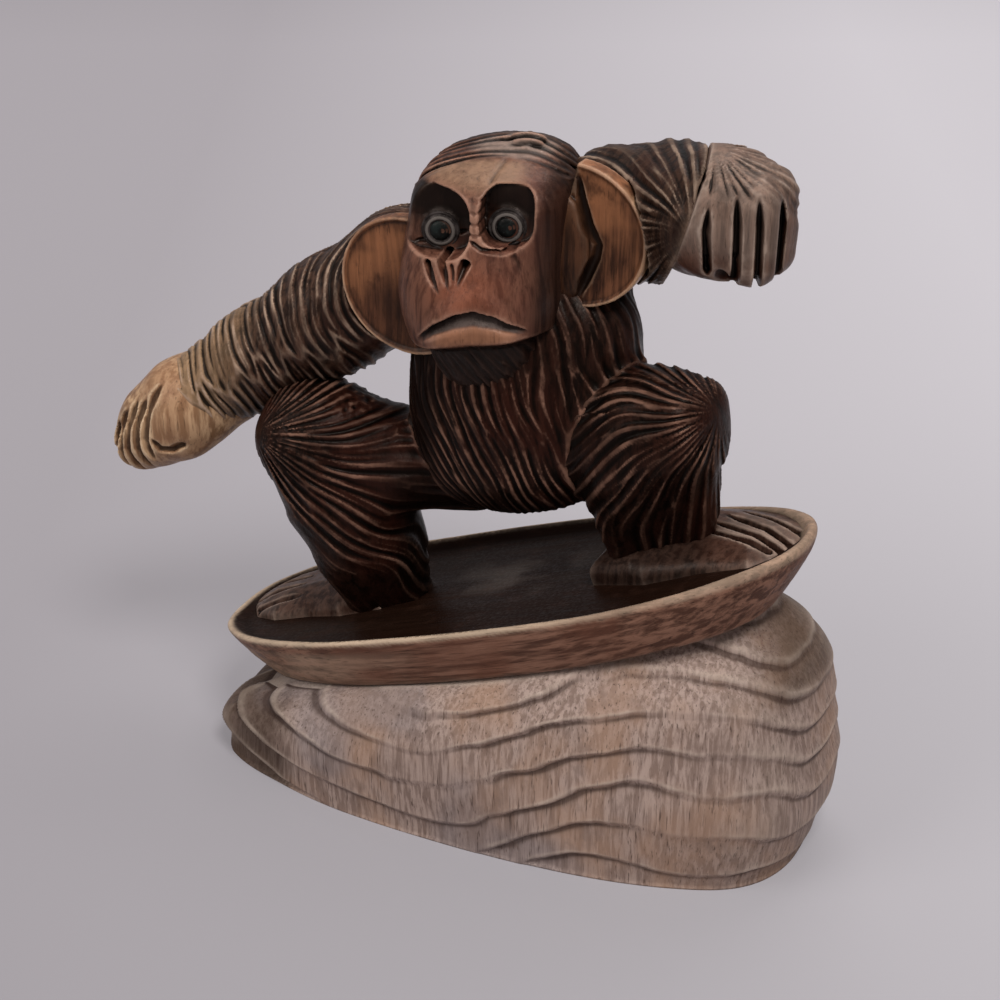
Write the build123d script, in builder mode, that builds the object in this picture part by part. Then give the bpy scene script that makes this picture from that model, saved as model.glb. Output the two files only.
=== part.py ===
from build123d import *
import math
import os

os.makedirs("parts", exist_ok=True)

# A carved wooden ape riding a surfboard on a block carved as a wave. Millimetres, +Z up, +X
# towards the raised nose of the board, -Y the side that the figure faces. The origin is the
# middle of the wave block's flat underside. Right and left are the figure's own.

# Wave block
wave_length = 202.0
wave_width = 94.0
wave_height = 63.8
wave_swell = 1.5
crest_inset = 30.0
crest_height = 108.0
tail_height = 15.0
tail_lean = 38.0
ride_angle = 21.5
ripple_radius = 8.0
ripple_depth = 2.0

# Surfboard
board_length = 222.0
board_width = 80.0
board_thickness = 19.0
board_shift_x = 3.5
board_shift_y = 3.0
hull_length_inset = 13.0
hull_width_inset = 5.0
rim_width = 3.5
dish_depth = 2.5

# Pegs that hold the board to the wave block and the legs to the board
peg_radius = 3.0
board_peg_length = 22.0
board_peg_sink = 11.0
board_peg_spacing = 60.0
leg_peg_length = 36.0
leg_peg_sink = 9.0
peg_clearance = 0.05

# Trunk
belly_clearance = 24.0
trunk_width = 75.0
trunk_depth = 54.0
trunk_height = 93.0
trunk_back = 1.0

# Head, measured from the tip of the beard to the crown
head_width = 50.5
head_depth = 49.0
head_height = 73.0
head_rise = 48.0
head_side = 7.5
head_forward = 6.0
head_yaw = 12.0

# Face
eye_spacing = 20.0
eye_side = 3.2
eye_rise = 50.4
eye_slant = 3.2
eye_radius = 5.6
eye_thickness = 3.0
pupil_radius = 2.9
pupil_proud = 0.6
eye_clearance = 0.05
socket_width = 17.0
socket_height = 21.0
eye_depth = 7.0
nostril_spacing = 6.5
nostril_rise = 40.5
nostril_width = 3.2
nostril_height = 8.0
nostril_floor = 24.5
mouth_rise = 28.0
mouth_width = 33.0
mouth_gap = 2.6
mouth_floor = 24.5

# Ears
ear_height = 44.0
ear_width = 46.0
ear_thickness = 6.0
ear_dish = 2.0
ear_rim = 2.6
right_ear_out = 32.5
right_ear_forward = 20.0
right_ear_rise = 74.5
left_ear_out = 17.0
left_ear_forward = 10.0
left_ear_rise = 96.0

# Arms, from the shoulder inside the trunk to the wrist
arm_girth = 41.0
shoulder_height = 82.0
right_shoulder_out = 14.0
right_shoulder_back = 8.0
right_arm_reach = 102.0
right_arm_forward = 18.0
right_arm_drop = 64.0
left_shoulder_out = 5.0
left_shoulder_back = 15.0
left_arm_reach = 52.0
left_arm_forward = 16.0
left_arm_rise = 23.5

# Hands
hand_width = 34.0
hand_thickness = 25.0
right_hand_reach = 27.5
right_hand_forward = 6.5
right_hand_drop = 27.0
fist_width = 35.0
fist_length = 24.5
fist_forward = 9.0
finger_radius = 4.3
finger_count = 4
fist_finger_length = 15.0
fist_finger_spacing = 6.4
fist_finger_inset = 6.0
fist_finger_rise = 9.5
fist_finger_forward = 16.5
open_finger_length = 10.0
open_finger_spacing = 6.4
open_finger_start_share = 0.52

# Legs, from the hip inside the trunk to the knee, and from the knee to the board
thigh_girth = 42.0
shin_girth = 45.0
right_hip_out = 18.0
right_hip_rise = 14.0
right_knee_out = 91.0
right_knee_rise = 11.0
right_knee_forward = 16.0
right_ankle_out = 55.0
right_ankle_forward = 4.0
left_hip_out = 16.0
left_hip_rise = 26.0
left_knee_out = 64.0
left_knee_rise = 48.0
left_knee_forward = 11.0
left_ankle_out = 45.0
left_ankle_back = 2.0
knee_overlap = 24.0
knee_cap = 16.0
ankle_height = 9.0

# Feet
foot_width = 30.0
foot_thickness = 13.0
right_foot_length = 50.0
right_foot_turn = 6.0
left_foot_length = 50.0
left_foot_turn = -18.0
toe_radius = 3.0
toe_spacing = 5.3
toe_length = 15.0
toe_sink = 0.6
toe_count = 5

overrun = 1.0


def oval(plane, half_width, half_height):
    turns = [math.radians(step * 45) for step in range(8)]
    with BuildSketch(plane, mode=Mode.PRIVATE) as ring:
        with BuildLine():
            Spline(
                [(half_width * math.cos(turn), half_height * math.sin(turn)) for turn in turns],
                periodic=True,
            )
        make_face()
    return ring.sketch


# Ovals square to a path, whose places are shares of the run and whose sizes are shares of the
# width and the height
def ovals(place_shares, start, run, side, width, height):
    points = [
        start + Vector(run.X * row[0], run.Y * row[1], run.Z * row[2]) for row in place_shares
    ]
    rings = []
    for number, row in enumerate(place_shares):
        before = points[max(number - 1, 0)]
        after = points[min(number + 1, len(points) - 1)]
        plane = Plane(origin=points[number], x_dir=side, z_dir=after - before)
        rings.append(oval(plane, width * row[3] / 2, height * row[4] / 2))
    return rings


# A round finger or toe with a ball at each end
def digit(start, run, radius):
    plane = Plane(origin=start, z_dir=run)
    with BuildSketch(plane, mode=Mode.PRIVATE) as section:
        Circle(radius)
    extrude(section.sketch, amount=run.length)
    with Locations(Location(start), Location(start + run)):
        Sphere(radius)


# A straight round pin square to a plane, of which the given sink lies below it
def peg(plane, sink, length, radius, mode=Mode.ADD):
    with BuildSketch(plane.offset(-sink), mode=Mode.PRIVATE) as section:
        Circle(radius)
    extrude(section.sketch, amount=length, mode=mode)


def board_peg_holes():
    for plane in board_peg_planes:
        peg(plane, board_peg_sink, board_peg_length, peg_radius + peg_clearance, Mode.SUBTRACT)


def leg_peg_holes():
    for plane in leg_peg_planes:
        peg(plane, leg_peg_sink, leg_peg_length, peg_radius + peg_clearance, Mode.SUBTRACT)


# The tilted faces that the board lies between
tilt_cos = math.cos(math.radians(ride_angle))
tilt_sin = math.sin(math.radians(ride_angle))
tilt_tan = tilt_sin / tilt_cos
hull_plane = Plane(
    origin=(-board_shift_x, -board_shift_y, wave_height - board_shift_x * tilt_tan),
    x_dir=(tilt_cos, 0, tilt_sin),
    z_dir=(-tilt_sin, 0, tilt_cos),
)
tail_plane = Plane(
    origin=(-wave_length / 2, 0, tail_height),
    z_dir=(-math.cos(math.radians(tail_lean)), 0, math.sin(math.radians(tail_lean))),
)
deck_plane = hull_plane.offset(board_thickness)
dish_plane = deck_plane.offset(-dish_depth)
deck_height = wave_height + board_thickness / tilt_cos
dish_height = deck_height - dish_depth / tilt_cos

# Places on the figure
trunk_base = Vector(0, trunk_back, deck_height + belly_clearance)
right_shoulder = trunk_base + Vector(-right_shoulder_out, right_shoulder_back, shoulder_height)
left_shoulder = trunk_base + Vector(left_shoulder_out, left_shoulder_back, shoulder_height)
right_arm_run = Vector(-right_arm_reach, -right_arm_forward, -right_arm_drop)
left_arm_run = Vector(left_arm_reach, -left_arm_forward, left_arm_rise)
right_wrist = right_shoulder + right_arm_run
left_wrist = left_shoulder + left_arm_run
right_hip = trunk_base + Vector(-right_hip_out, 0, right_hip_rise)
left_hip = trunk_base + Vector(left_hip_out, 0, left_hip_rise)
right_knee = trunk_base + Vector(-right_knee_out, -right_knee_forward, right_knee_rise)
left_knee = trunk_base + Vector(left_knee_out, -left_knee_forward, left_knee_rise)
right_sole = Vector(
    -right_ankle_out, -right_ankle_forward, dish_height - right_ankle_out * tilt_tan
)
left_sole = Vector(left_ankle_out, left_ankle_back, dish_height + left_ankle_out * tilt_tan)
right_sole_plane = Plane(origin=right_sole, x_dir=dish_plane.x_dir, z_dir=dish_plane.z_dir)
left_sole_plane = Plane(origin=left_sole, x_dir=dish_plane.x_dir, z_dir=dish_plane.z_dir)
head_foot = trunk_base + Vector(-head_side, -head_forward, head_rise)
head_x = Vector(math.cos(math.radians(head_yaw)), math.sin(math.radians(head_yaw)), 0)
head_plane = Plane(origin=head_foot, x_dir=head_x, z_dir=(0, 0, 1))
face_dir = -head_plane.y_dir
board_peg_planes = [
    Plane(origin=hull_plane.from_local_coords(place), z_dir=hull_plane.z_dir)
    for place in ((-board_peg_spacing / 2, 0, 0), (board_peg_spacing / 2, 0, 0))
]
leg_peg_planes = [right_sole_plane, left_sole_plane]

# Pegs
with BuildPart() as board_pegs:
    for plane in board_peg_planes:
        peg(plane, board_peg_sink, board_peg_length, peg_radius)
board_pegs.part.label = "board_pegs"
export_step(board_pegs.part, "parts/board_pegs.step")

with BuildPart() as leg_pegs:
    for plane in leg_peg_planes:
        peg(plane, leg_peg_sink, leg_peg_length, peg_radius)
leg_pegs.part.label = "leg_pegs"
export_step(leg_pegs.part, "parts/leg_pegs.step")

# Wave block: rounded in plan, full at mid height, drawn in towards the crest and cut off along
# the underside of the board
footprint_shares = [
    (-1.06, -0.48),
    (-0.96, -0.79),
    (-0.60, -0.98),
    (-0.15, -1.00),
    (0.30, -0.90),
    (0.70, -0.68),
    (0.91, -0.40),
    (0.99, 0.08),
    (0.93, 0.62),
    (0.60, 0.95),
    (0.10, 1.00),
    (-0.50, 1.00),
    (-0.90, 0.82),
    (-1.05, 0.34),
]
wave_level_shares = [
    (0.00, 1.0, 0.0),
    (0.30, 0.0, 0.0),
    (0.62, 0.0, 0.05),
    (0.80, 0.0, 0.32),
    (1.00, 0.0, 1.0),
]
# Ripples: round-bottomed troughs that run right round the block, whose heights over the places
# of the footprint are shares of the crest's height
ripple_shares = [
    (0.27, 0.21, 0.11, 0.10, 0.24, 0.31, 0.31, 0.27, 0.26, 0.29, 0.25, 0.18, 0.24, 0.28),
    (0.38, 0.35, 0.23, 0.20, 0.37, 0.45, 0.44, 0.39, 0.38, 0.41, 0.36, 0.30, 0.35, 0.38),
    (0.50, 0.45, 0.34, 0.31, 0.50, 0.58, 0.56, 0.50, 0.49, 0.53, 0.48, 0.42, 0.47, 0.50),
    (0.62, 0.56, 0.46, 0.44, 0.62, 0.70, 0.68, 0.61, 0.60, 0.65, 0.60, 0.54, 0.59, 0.62),
]


def wave_inset(level_share):
    for low, high in zip(wave_level_shares, wave_level_shares[1:]):
        if level_share <= high[0]:
            passed = (level_share - low[0]) / (high[0] - low[0])
            swell_share = low[1] + (high[1] - low[1]) * passed
            inset_share = low[2] + (high[2] - low[2]) * passed
            return wave_swell * swell_share + crest_inset * inset_share
    return wave_swell + crest_inset


def ripple(height_shares):
    stand_off = ripple_radius - ripple_depth
    points = []
    for (x, y), level_share in zip(footprint_shares, height_shares):
        grow = stand_off - wave_inset(level_share)
        points.append(
            ((wave_length / 2 + grow) * x, (wave_width / 2 + grow) * y, crest_height * level_share)
        )
    with BuildLine(mode=Mode.PRIVATE) as path:
        Spline(points, periodic=True)
    start = Plane(origin=path.line @ 0, z_dir=path.line % 0)
    with BuildSketch(start, mode=Mode.PRIVATE) as section:
        Circle(ripple_radius)
    sweep(section.sketch, path=path.line, mode=Mode.SUBTRACT)


with BuildPart() as wave_base:
    for rise_share, swell_share, inset_share in wave_level_shares:
        inset = wave_swell * swell_share + crest_inset * inset_share
        half_length = wave_length / 2 - inset
        half_width = wave_width / 2 - inset
        with BuildSketch(Plane.XY.offset(crest_height * rise_share)):
            with BuildLine():
                Spline([(half_length * x, half_width * y) for x, y in footprint_shares], periodic=True)
            make_face()
    loft()
    split(bisect_by=hull_plane, keep=Keep.BOTTOM)
    split(bisect_by=tail_plane, keep=Keep.BOTTOM)
    for height_shares in ripple_shares:
        ripple(height_shares)
    board_peg_holes()
wave_base.part.label = "wave_base"
export_step(wave_base.part, "parts/wave_base.step")

# Surfboard: a hull with sloping sides and a shallow dish in its deck
with BuildPart() as surfboard:
    with BuildSketch(hull_plane):
        Ellipse(board_length / 2 - hull_length_inset, board_width / 2 - hull_width_inset)
    with BuildSketch(deck_plane):
        Ellipse(board_length / 2, board_width / 2)
    loft(ruled=True)
    with BuildSketch(dish_plane):
        Ellipse(board_length / 2 - 2 * rim_width, board_width / 2 - 2 * rim_width)
    with BuildSketch(deck_plane.offset(overrun)):
        Ellipse(board_length / 2 - rim_width, board_width / 2 - rim_width)
    loft(ruled=True, mode=Mode.SUBTRACT)
    board_peg_holes()
    leg_peg_holes()
surfboard.part.label = "surfboard"
export_step(surfboard.part, "parts/surfboard.step")

# Trunk: a barrel that narrows to the seat and to the neck
trunk_shares = [
    (-0.03, 0.00, 0.04, 0.46, 0.50),
    (-0.03, 0.00, 0.12, 0.84, 0.80),
    (-0.03, 0.00, 0.25, 0.97, 0.94),
    (-0.02, 0.00, 0.43, 1.00, 1.00),
    (-0.01, 0.02, 0.62, 0.92, 0.93),
    (-0.02, 0.05, 0.78, 0.80, 0.82),
    (-0.07, 0.08, 0.91, 0.50, 0.60),
]
nape_share = (-0.09, 0.10)
with BuildPart() as trunk:
    rings = []
    for side, back, rise, width, depth in trunk_shares:
        centre = trunk_base + Vector(trunk_width * side, trunk_depth * back, trunk_height * rise)
        level = Plane(origin=centre, x_dir=(1, 0, 0), z_dir=(0, 0, 1))
        rings.append(oval(level, trunk_width * width / 2, trunk_depth * depth / 2))
    nape = trunk_base + Vector(
        trunk_width * nape_share[0], trunk_depth * nape_share[1], trunk_height
    )
    loft([Vertex(*trunk_base), *rings, Vertex(*nape)])
trunk.part.label = "trunk"
export_step(trunk.part, "parts/trunk.step")

# Eyes: a flat disc with a round plug in its middle, sunk in a socket
eye_places = [
    Plane(
        origin=head_plane.from_local_coords(
            (side * eye_spacing / 2 - eye_side, eye_depth - head_depth / 2, rise)
        ),
        x_dir=head_x,
        z_dir=face_dir,
    )
    for side, rise in ((-1, eye_rise - eye_slant / 2), (1, eye_rise + eye_slant / 2))
]


def eye_disc(plane):
    with BuildSketch(plane, mode=Mode.PRIVATE) as section:
        Circle(eye_radius)
        Circle(pupil_radius + eye_clearance, mode=Mode.SUBTRACT)
    extrude(section.sketch, amount=eye_thickness)


def eye_plug(plane):
    with BuildSketch(plane, mode=Mode.PRIVATE) as section:
        Circle(pupil_radius)
    extrude(section.sketch, amount=eye_thickness + pupil_proud)


# Head: the face is the front of a tall rounded block that ends in a beard
head_shares = [
    (0.00, -0.24, 0.05, 0.38, 0.33),
    (0.00, -0.22, 0.16, 0.68, 0.61),
    (-0.06, -0.16, 0.32, 0.91, 0.90),
    (-0.06, -0.08, 0.48, 0.98, 0.98),
    (-0.03, 0.00, 0.66, 1.00, 0.98),
    (0.02, 0.02, 0.82, 0.91, 0.92),
    (0.06, 0.04, 0.93, 0.64, 0.65),
]
beard_tip_share = (0.00, -0.24)
crown_share = (0.10, 0.04)
with BuildPart() as head:
    rings = []
    for side, back, rise, width, depth in head_shares:
        level = Plane(
            origin=head_plane.from_local_coords(
                (head_width * side, head_depth * back, head_height * rise)
            ),
            x_dir=head_x,
            z_dir=(0, 0, 1),
        )
        rings.append(oval(level, head_width * width / 2, head_depth * depth / 2))
    beard_tip = head_plane.from_local_coords(
        (head_width * beard_tip_share[0], head_depth * beard_tip_share[1], 0)
    )
    crown = head_plane.from_local_coords(
        (head_width * crown_share[0], head_depth * crown_share[1], head_height)
    )
    loft([Vertex(*beard_tip), *rings, Vertex(*crown)])
    for plane in eye_places:
        with BuildSketch(plane):
            Ellipse(socket_width / 2, socket_height / 2)
        extrude(amount=head_depth, mode=Mode.SUBTRACT)
    for side in (-1, 1):
        place = head_plane.from_local_coords(
            (side * nostril_spacing / 2, -nostril_floor, nostril_rise)
        )
        with BuildSketch(Plane(origin=place, x_dir=head_x, z_dir=face_dir)):
            Ellipse(nostril_width / 2, nostril_height / 2)
        extrude(amount=head_depth, mode=Mode.SUBTRACT)
    mouth = head_plane.from_local_coords((0, -mouth_floor, mouth_rise))
    with BuildSketch(Plane(origin=mouth, x_dir=head_x, z_dir=face_dir)):
        SlotOverall(mouth_width, mouth_gap)
    extrude(amount=head_depth, mode=Mode.SUBTRACT)
    add(trunk.part, mode=Mode.SUBTRACT)
head.part.label = "head"
export_step(head.part, "parts/head.step")

with BuildPart() as right_eye:
    eye_disc(eye_places[0])
right_eye.part.label = "right_eye"
export_step(right_eye.part, "parts/right_eye.step")

with BuildPart() as left_eye:
    eye_disc(eye_places[1])
left_eye.part.label = "left_eye"
export_step(left_eye.part, "parts/left_eye.step")

with BuildPart() as right_pupil:
    eye_plug(eye_places[0])
right_pupil.part.label = "right_pupil"
export_step(right_pupil.part, "parts/right_pupil.step")

with BuildPart() as left_pupil:
    eye_plug(eye_places[1])
left_pupil.part.label = "left_pupil"
export_step(left_pupil.part, "parts/left_pupil.step")


def ear_front(root):
    return Plane(origin=trunk_base + Vector(root), x_dir=(1, 0, 0), z_dir=(0, -1, 0))


# Ear: a round dished plate, of which the inner half lies in the head
def ear(front):
    extrude(oval(front, ear_width / 2, ear_height / 2), amount=-ear_thickness)
    floor = oval(
        front.offset(-ear_dish), ear_width / 2 - 2 * ear_rim, ear_height / 2 - 2 * ear_rim
    )
    mouth = oval(front.offset(overrun), ear_width / 2 - ear_rim, ear_height / 2 - ear_rim)
    loft([floor, mouth], mode=Mode.SUBTRACT)
    add(head.part, mode=Mode.SUBTRACT)
    add(trunk.part, mode=Mode.SUBTRACT)


# The shoulder is cut back to the rear face of the ear that it carries
def ear_recess(front):
    outline = oval(front.offset(-ear_thickness), ear_width / 2, ear_height / 2)
    extrude(outline, amount=ear_thickness + arm_girth, mode=Mode.SUBTRACT)


right_ear_front = ear_front((-right_ear_out, -right_ear_forward, right_ear_rise))
left_ear_front = ear_front((left_ear_out, -left_ear_forward, left_ear_rise))

with BuildPart() as right_ear:
    ear(right_ear_front)
right_ear.part.label = "right_ear"
export_step(right_ear.part, "parts/right_ear.step")

with BuildPart() as left_ear:
    ear(left_ear_front)
left_ear.part.label = "left_ear"
export_step(left_ear.part, "parts/left_ear.step")

# Arms
right_arm_shares = [
    (0.00, 0.00, 0.00, 0.90, 0.90),
    (0.30, 0.20, 0.24, 1.00, 1.00),
    (0.55, 0.40, 0.52, 0.94, 0.94),
    (0.80, 0.68, 0.79, 0.80, 0.80),
    (1.00, 1.00, 1.00, 0.72, 0.76),
]
with BuildPart() as right_arm:
    loft(ovals(right_arm_shares, right_shoulder, right_arm_run, (0, 1, 0), arm_girth, arm_girth))
    add(trunk.part, mode=Mode.SUBTRACT)
    add(head.part, mode=Mode.SUBTRACT)
    ear_recess(right_ear_front)
right_arm.part.label = "right_arm"
export_step(right_arm.part, "parts/right_arm.step")

left_arm_shares = [
    (0.00, 0.00, 0.00, 0.80, 0.80),
    (0.35, 0.08, 0.50, 0.94, 0.96),
    (0.70, 0.35, 0.82, 1.00, 1.03),
    (1.00, 1.00, 1.00, 0.86, 0.92),
]
with BuildPart() as left_arm:
    loft(ovals(left_arm_shares, left_shoulder, left_arm_run, (0, 1, 0), arm_girth, arm_girth))
    add(trunk.part, mode=Mode.SUBTRACT)
    add(head.part, mode=Mode.SUBTRACT)
    ear_recess(left_ear_front)
    add(right_arm.part, mode=Mode.SUBTRACT)
left_arm.part.label = "left_arm"
export_step(left_arm.part, "parts/left_arm.step")

# Right hand: open and hanging, with four fingers side by side
right_hand_run = Vector(-right_hand_reach, -right_hand_forward, -right_hand_drop)
right_hand_shares = [
    (-0.08, -0.08, -0.08, 0.82, 1.04),
    (0.12, 0.10, 0.10, 0.88, 1.06),
    (0.45, 0.42, 0.44, 0.96, 1.04),
    (0.80, 0.75, 0.80, 0.64, 0.70),
]
with BuildPart() as right_hand:
    loft(
        [
            *ovals(
                right_hand_shares, right_wrist, right_hand_run, (0, 0, 1), hand_width, hand_thickness
            ),
            Vertex(*(right_wrist + right_hand_run)),
        ]
    )
    knuckles = right_wrist + right_hand_run * open_finger_start_share
    reach = Plane(origin=knuckles, x_dir=(0, 0, 1), z_dir=right_hand_run)
    for number in range(finger_count):
        spread = open_finger_spacing * (number - (finger_count - 1) / 2)
        digit(reach.origin + reach.x_dir * spread, reach.z_dir * open_finger_length, finger_radius)
    add(right_arm.part, mode=Mode.SUBTRACT)
right_hand.part.label = "right_hand"
export_step(right_hand.part, "parts/right_hand.step")

# Left hand: a fist whose four fingers are curled down in front
fist_run = Vector(fist_length, -fist_forward, 0)
fist_shares = [
    (-0.08, -0.08, 0.00, 0.94, 0.92),
    (0.25, 0.40, 0.00, 1.00, 1.00),
    (0.60, 0.75, 0.00, 0.90, 0.94),
    (0.85, 0.95, 0.00, 0.70, 0.74),
]
with BuildPart() as left_hand:
    loft(
        [
            *ovals(fist_shares, left_wrist, fist_run, (0, 0, 1), fist_width, fist_width),
            Vertex(*(left_wrist + fist_run)),
        ]
    )
    for number in range(finger_count):
        across = fist_finger_inset + fist_finger_spacing * number
        start = left_wrist + Vector(across, -fist_finger_forward, fist_finger_rise)
        digit(start, Vector(0, 0, -fist_finger_length), finger_radius)
    add(left_arm.part, mode=Mode.SUBTRACT)
left_hand.part.label = "left_hand"
export_step(left_hand.part, "parts/left_hand.step")

# Feet: a low wedge along the board, from the heel to five toes
foot_shares = [
    (-0.32, 0.66, 0.60),
    (-0.10, 1.00, 0.96),
    (0.20, 1.00, 1.00),
    (0.50, 0.94, 0.70),
    (0.80, 0.90, 0.42),
]


def foot(sole_plane, heading, length, turn):
    ahead = sole_plane.rotated((0, 0, turn)).x_dir * heading
    across = sole_plane.z_dir.cross(ahead)
    sole = sole_plane.origin
    rings = []
    for place, width, height in foot_shares:
        level = Plane(origin=sole + ahead * length * place, x_dir=across, z_dir=ahead)
        rings.append(oval(level, foot_width * width / 2, foot_thickness * height))
    loft(rings)
    toes = Plane(origin=sole + ahead * (length - toe_length - toe_radius), x_dir=across, z_dir=ahead)
    for number in range(toe_count):
        spread = toe_spacing * (number - (toe_count - 1) / 2)
        start = toes.origin + across * spread + sole_plane.z_dir * (toe_radius - toe_sink)
        digit(start, ahead * toe_length, toe_radius)
    split(bisect_by=dish_plane, keep=Keep.TOP)
    add(surfboard.part, mode=Mode.SUBTRACT)
    leg_peg_holes()


with BuildPart() as right_foot:
    foot(right_sole_plane, -1, right_foot_length, right_foot_turn)
right_foot.part.label = "right_foot"
export_step(right_foot.part, "parts/right_foot.step")

with BuildPart() as left_foot:
    foot(left_sole_plane, 1, left_foot_length, left_foot_turn)
left_foot.part.label = "left_foot"
export_step(left_foot.part, "parts/left_foot.step")

# Legs: a thigh out to the knee and a shin down to the board
thigh_shares = [
    (0.00, 0.00, 0.00, 0.80, 0.86),
    (0.45, 0.40, 0.20, 1.00, 1.00),
    (0.80, 0.80, 0.70, 0.90, 0.94),
]
shin_shares = [
    (0.00, 0.00, 0.10, 0.62, 0.60),
    (0.10, 0.10, 0.26, 0.96, 0.88),
    (0.40, 0.40, 0.50, 1.00, 0.86),
    (0.75, 0.75, 0.76, 0.88, 0.72),
    (1.00, 1.00, 1.00, 0.78, 0.60),
]


def leg(hip, knee, sole):
    thigh_run = knee - hip
    thigh = ovals(thigh_shares, hip, thigh_run, (0, 1, 0), thigh_girth, thigh_girth)
    loft([*thigh, Vertex(*knee)])
    shin_top = knee - thigh_run.normalized() * knee_overlap + Vector(0, 0, knee_cap)
    ankle = sole + Vector(0, 0, ankle_height)
    shin = ovals(shin_shares, shin_top, ankle - shin_top, (1, 0, 0), shin_girth, shin_girth)
    loft([Vertex(*shin_top), *shin])
    add(trunk.part, mode=Mode.SUBTRACT)
    leg_peg_holes()


with BuildPart() as right_leg:
    leg(right_hip, right_knee, right_sole)
    add(right_arm.part, mode=Mode.SUBTRACT)
    add(right_foot.part, mode=Mode.SUBTRACT)
right_leg.part.label = "right_leg"
export_step(right_leg.part, "parts/right_leg.step")

with BuildPart() as left_leg:
    leg(left_hip, left_knee, left_sole)
    add(left_foot.part, mode=Mode.SUBTRACT)
left_leg.part.label = "left_leg"
export_step(left_leg.part, "parts/left_leg.step")
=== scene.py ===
import bpy
import math
import numpy as np
from itertools import product
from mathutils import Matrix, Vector


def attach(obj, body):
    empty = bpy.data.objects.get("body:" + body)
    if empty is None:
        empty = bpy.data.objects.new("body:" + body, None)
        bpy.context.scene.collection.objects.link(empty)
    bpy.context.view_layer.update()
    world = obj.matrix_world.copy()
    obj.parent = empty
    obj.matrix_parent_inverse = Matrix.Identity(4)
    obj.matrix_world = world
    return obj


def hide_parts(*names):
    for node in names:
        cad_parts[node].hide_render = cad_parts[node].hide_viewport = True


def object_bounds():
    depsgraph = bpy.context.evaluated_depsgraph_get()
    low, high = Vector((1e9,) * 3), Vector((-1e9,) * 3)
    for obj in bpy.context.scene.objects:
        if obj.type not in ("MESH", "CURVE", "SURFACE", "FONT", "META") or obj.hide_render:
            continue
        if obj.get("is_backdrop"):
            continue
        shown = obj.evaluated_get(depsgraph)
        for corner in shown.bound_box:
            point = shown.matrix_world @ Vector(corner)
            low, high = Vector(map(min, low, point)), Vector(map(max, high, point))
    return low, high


# A carved wooden monkey on a surfboard and a block of wave. The forms are worked out in
# millimetres as fields, negative inside the wood, and turned into closed meshes in metres.

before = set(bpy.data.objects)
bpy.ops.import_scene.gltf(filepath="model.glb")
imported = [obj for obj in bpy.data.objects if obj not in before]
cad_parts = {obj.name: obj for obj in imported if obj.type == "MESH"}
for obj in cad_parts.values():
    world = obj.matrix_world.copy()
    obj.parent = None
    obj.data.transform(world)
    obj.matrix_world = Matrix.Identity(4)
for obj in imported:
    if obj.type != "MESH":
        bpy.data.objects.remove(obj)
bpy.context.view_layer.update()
metre = 0.001
print("frame loaded")


# Numbers that vary smoothly

def randomAt(seed, *cells):
    mixed = np.full(cells[0].shape, seed * 7919 + 17, np.uint32)
    for cell in cells:
        mixed = (mixed ^ cell.astype(np.int64).astype(np.uint32)) * np.uint32(2654435769)
        mixed ^= mixed >> np.uint32(15)
    return (mixed & np.uint32(0xFFFFFF)) / 16777216.0


def noise(p, size, seed):
    place = p / size
    cell = np.floor(place)
    part = place - cell
    part = part * part * (3 - 2 * part)
    total = 0
    for corner in product((0, 1), repeat=3):
        weight = 1
        for axis, side in enumerate(corner):
            weight = weight * (part[:, axis] if side else 1 - part[:, axis])
        total = total + weight * randomAt(seed, *[cell[:, axis] + corner[axis] for axis in range(3)])
    return total * 2 - 1


def ramp(value, low, high):
    t = np.clip((value - low) / (high - low), 0, 1)
    return t * t * (3 - 2 * t)


def bend(a, b, c, d, u):
    # a smooth curve from b to c, with a and d as its neighbours
    return 0.5 * (2 * b + (c - a) * u + (2 * a - 5 * b + 4 * c - d) * u**2
                  + (3 * b - a - 3 * c + d) * u**3)


def smoothRows(rows, count=80):
    rows = np.array(rows, float)
    ends = np.vstack([2 * rows[0] - rows[1], rows, 2 * rows[-1] - rows[-2]])
    places = np.linspace(0, len(rows) - 1 - 1e-6, count)
    return np.array([bend(*ends[int(t):int(t) + 4], t - int(t)) for t in places])


# Forms: each gives the distance to its surface, negative inside

def join(a, b, soft):
    h = np.clip(0.5 + 0.5 * (b - a) / soft, 0, 1)
    return b + (a - b) * h - soft * h * (1 - h)


def cut(a, b, soft):
    return -join(-a, b, soft)


def length(p):
    return np.sqrt((p * p).sum(1))


def limb(p, joints, soft):
    total = None
    for (ax, ay, az, ar), (bx, by, bz, br) in zip(joints, joints[1:]):
        start, run = np.array([ax, ay, az]), np.array([bx - ax, by - ay, bz - az])
        t = np.clip((p - start) @ run / (run @ run), 0, 1)
        distance = length(p - start - t[:, None] * run) - (ar + (br - ar) * t)
        total = distance if total is None else join(total, distance, soft)
    return total


def ball(p, centre, radii):
    q = (p - np.array(centre, float)) / np.array(radii, float)
    far = length(q)
    return far * (far - 1) / np.maximum(length(q / np.array(radii, float)), 1e-6)


def block(p, centre, halves, corner, turn):
    q = (p - np.array(centre, float)) @ turn.T
    q = np.abs(q) - (np.array(halves, float) - corner)
    return length(np.maximum(q, 0)) + np.minimum(q.max(1), 0) - corner


def oval(x, y, wide, deep, power):
    # an oval round the middle, squarer with more power
    u, v = np.abs(x) / wide, np.abs(y) / deep
    far = (u**power + v**power)**(1 / power)
    return np.hypot(u, v) * (far - 1) / np.maximum(np.hypot(u / wide, v / deep), 1e-6)


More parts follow.
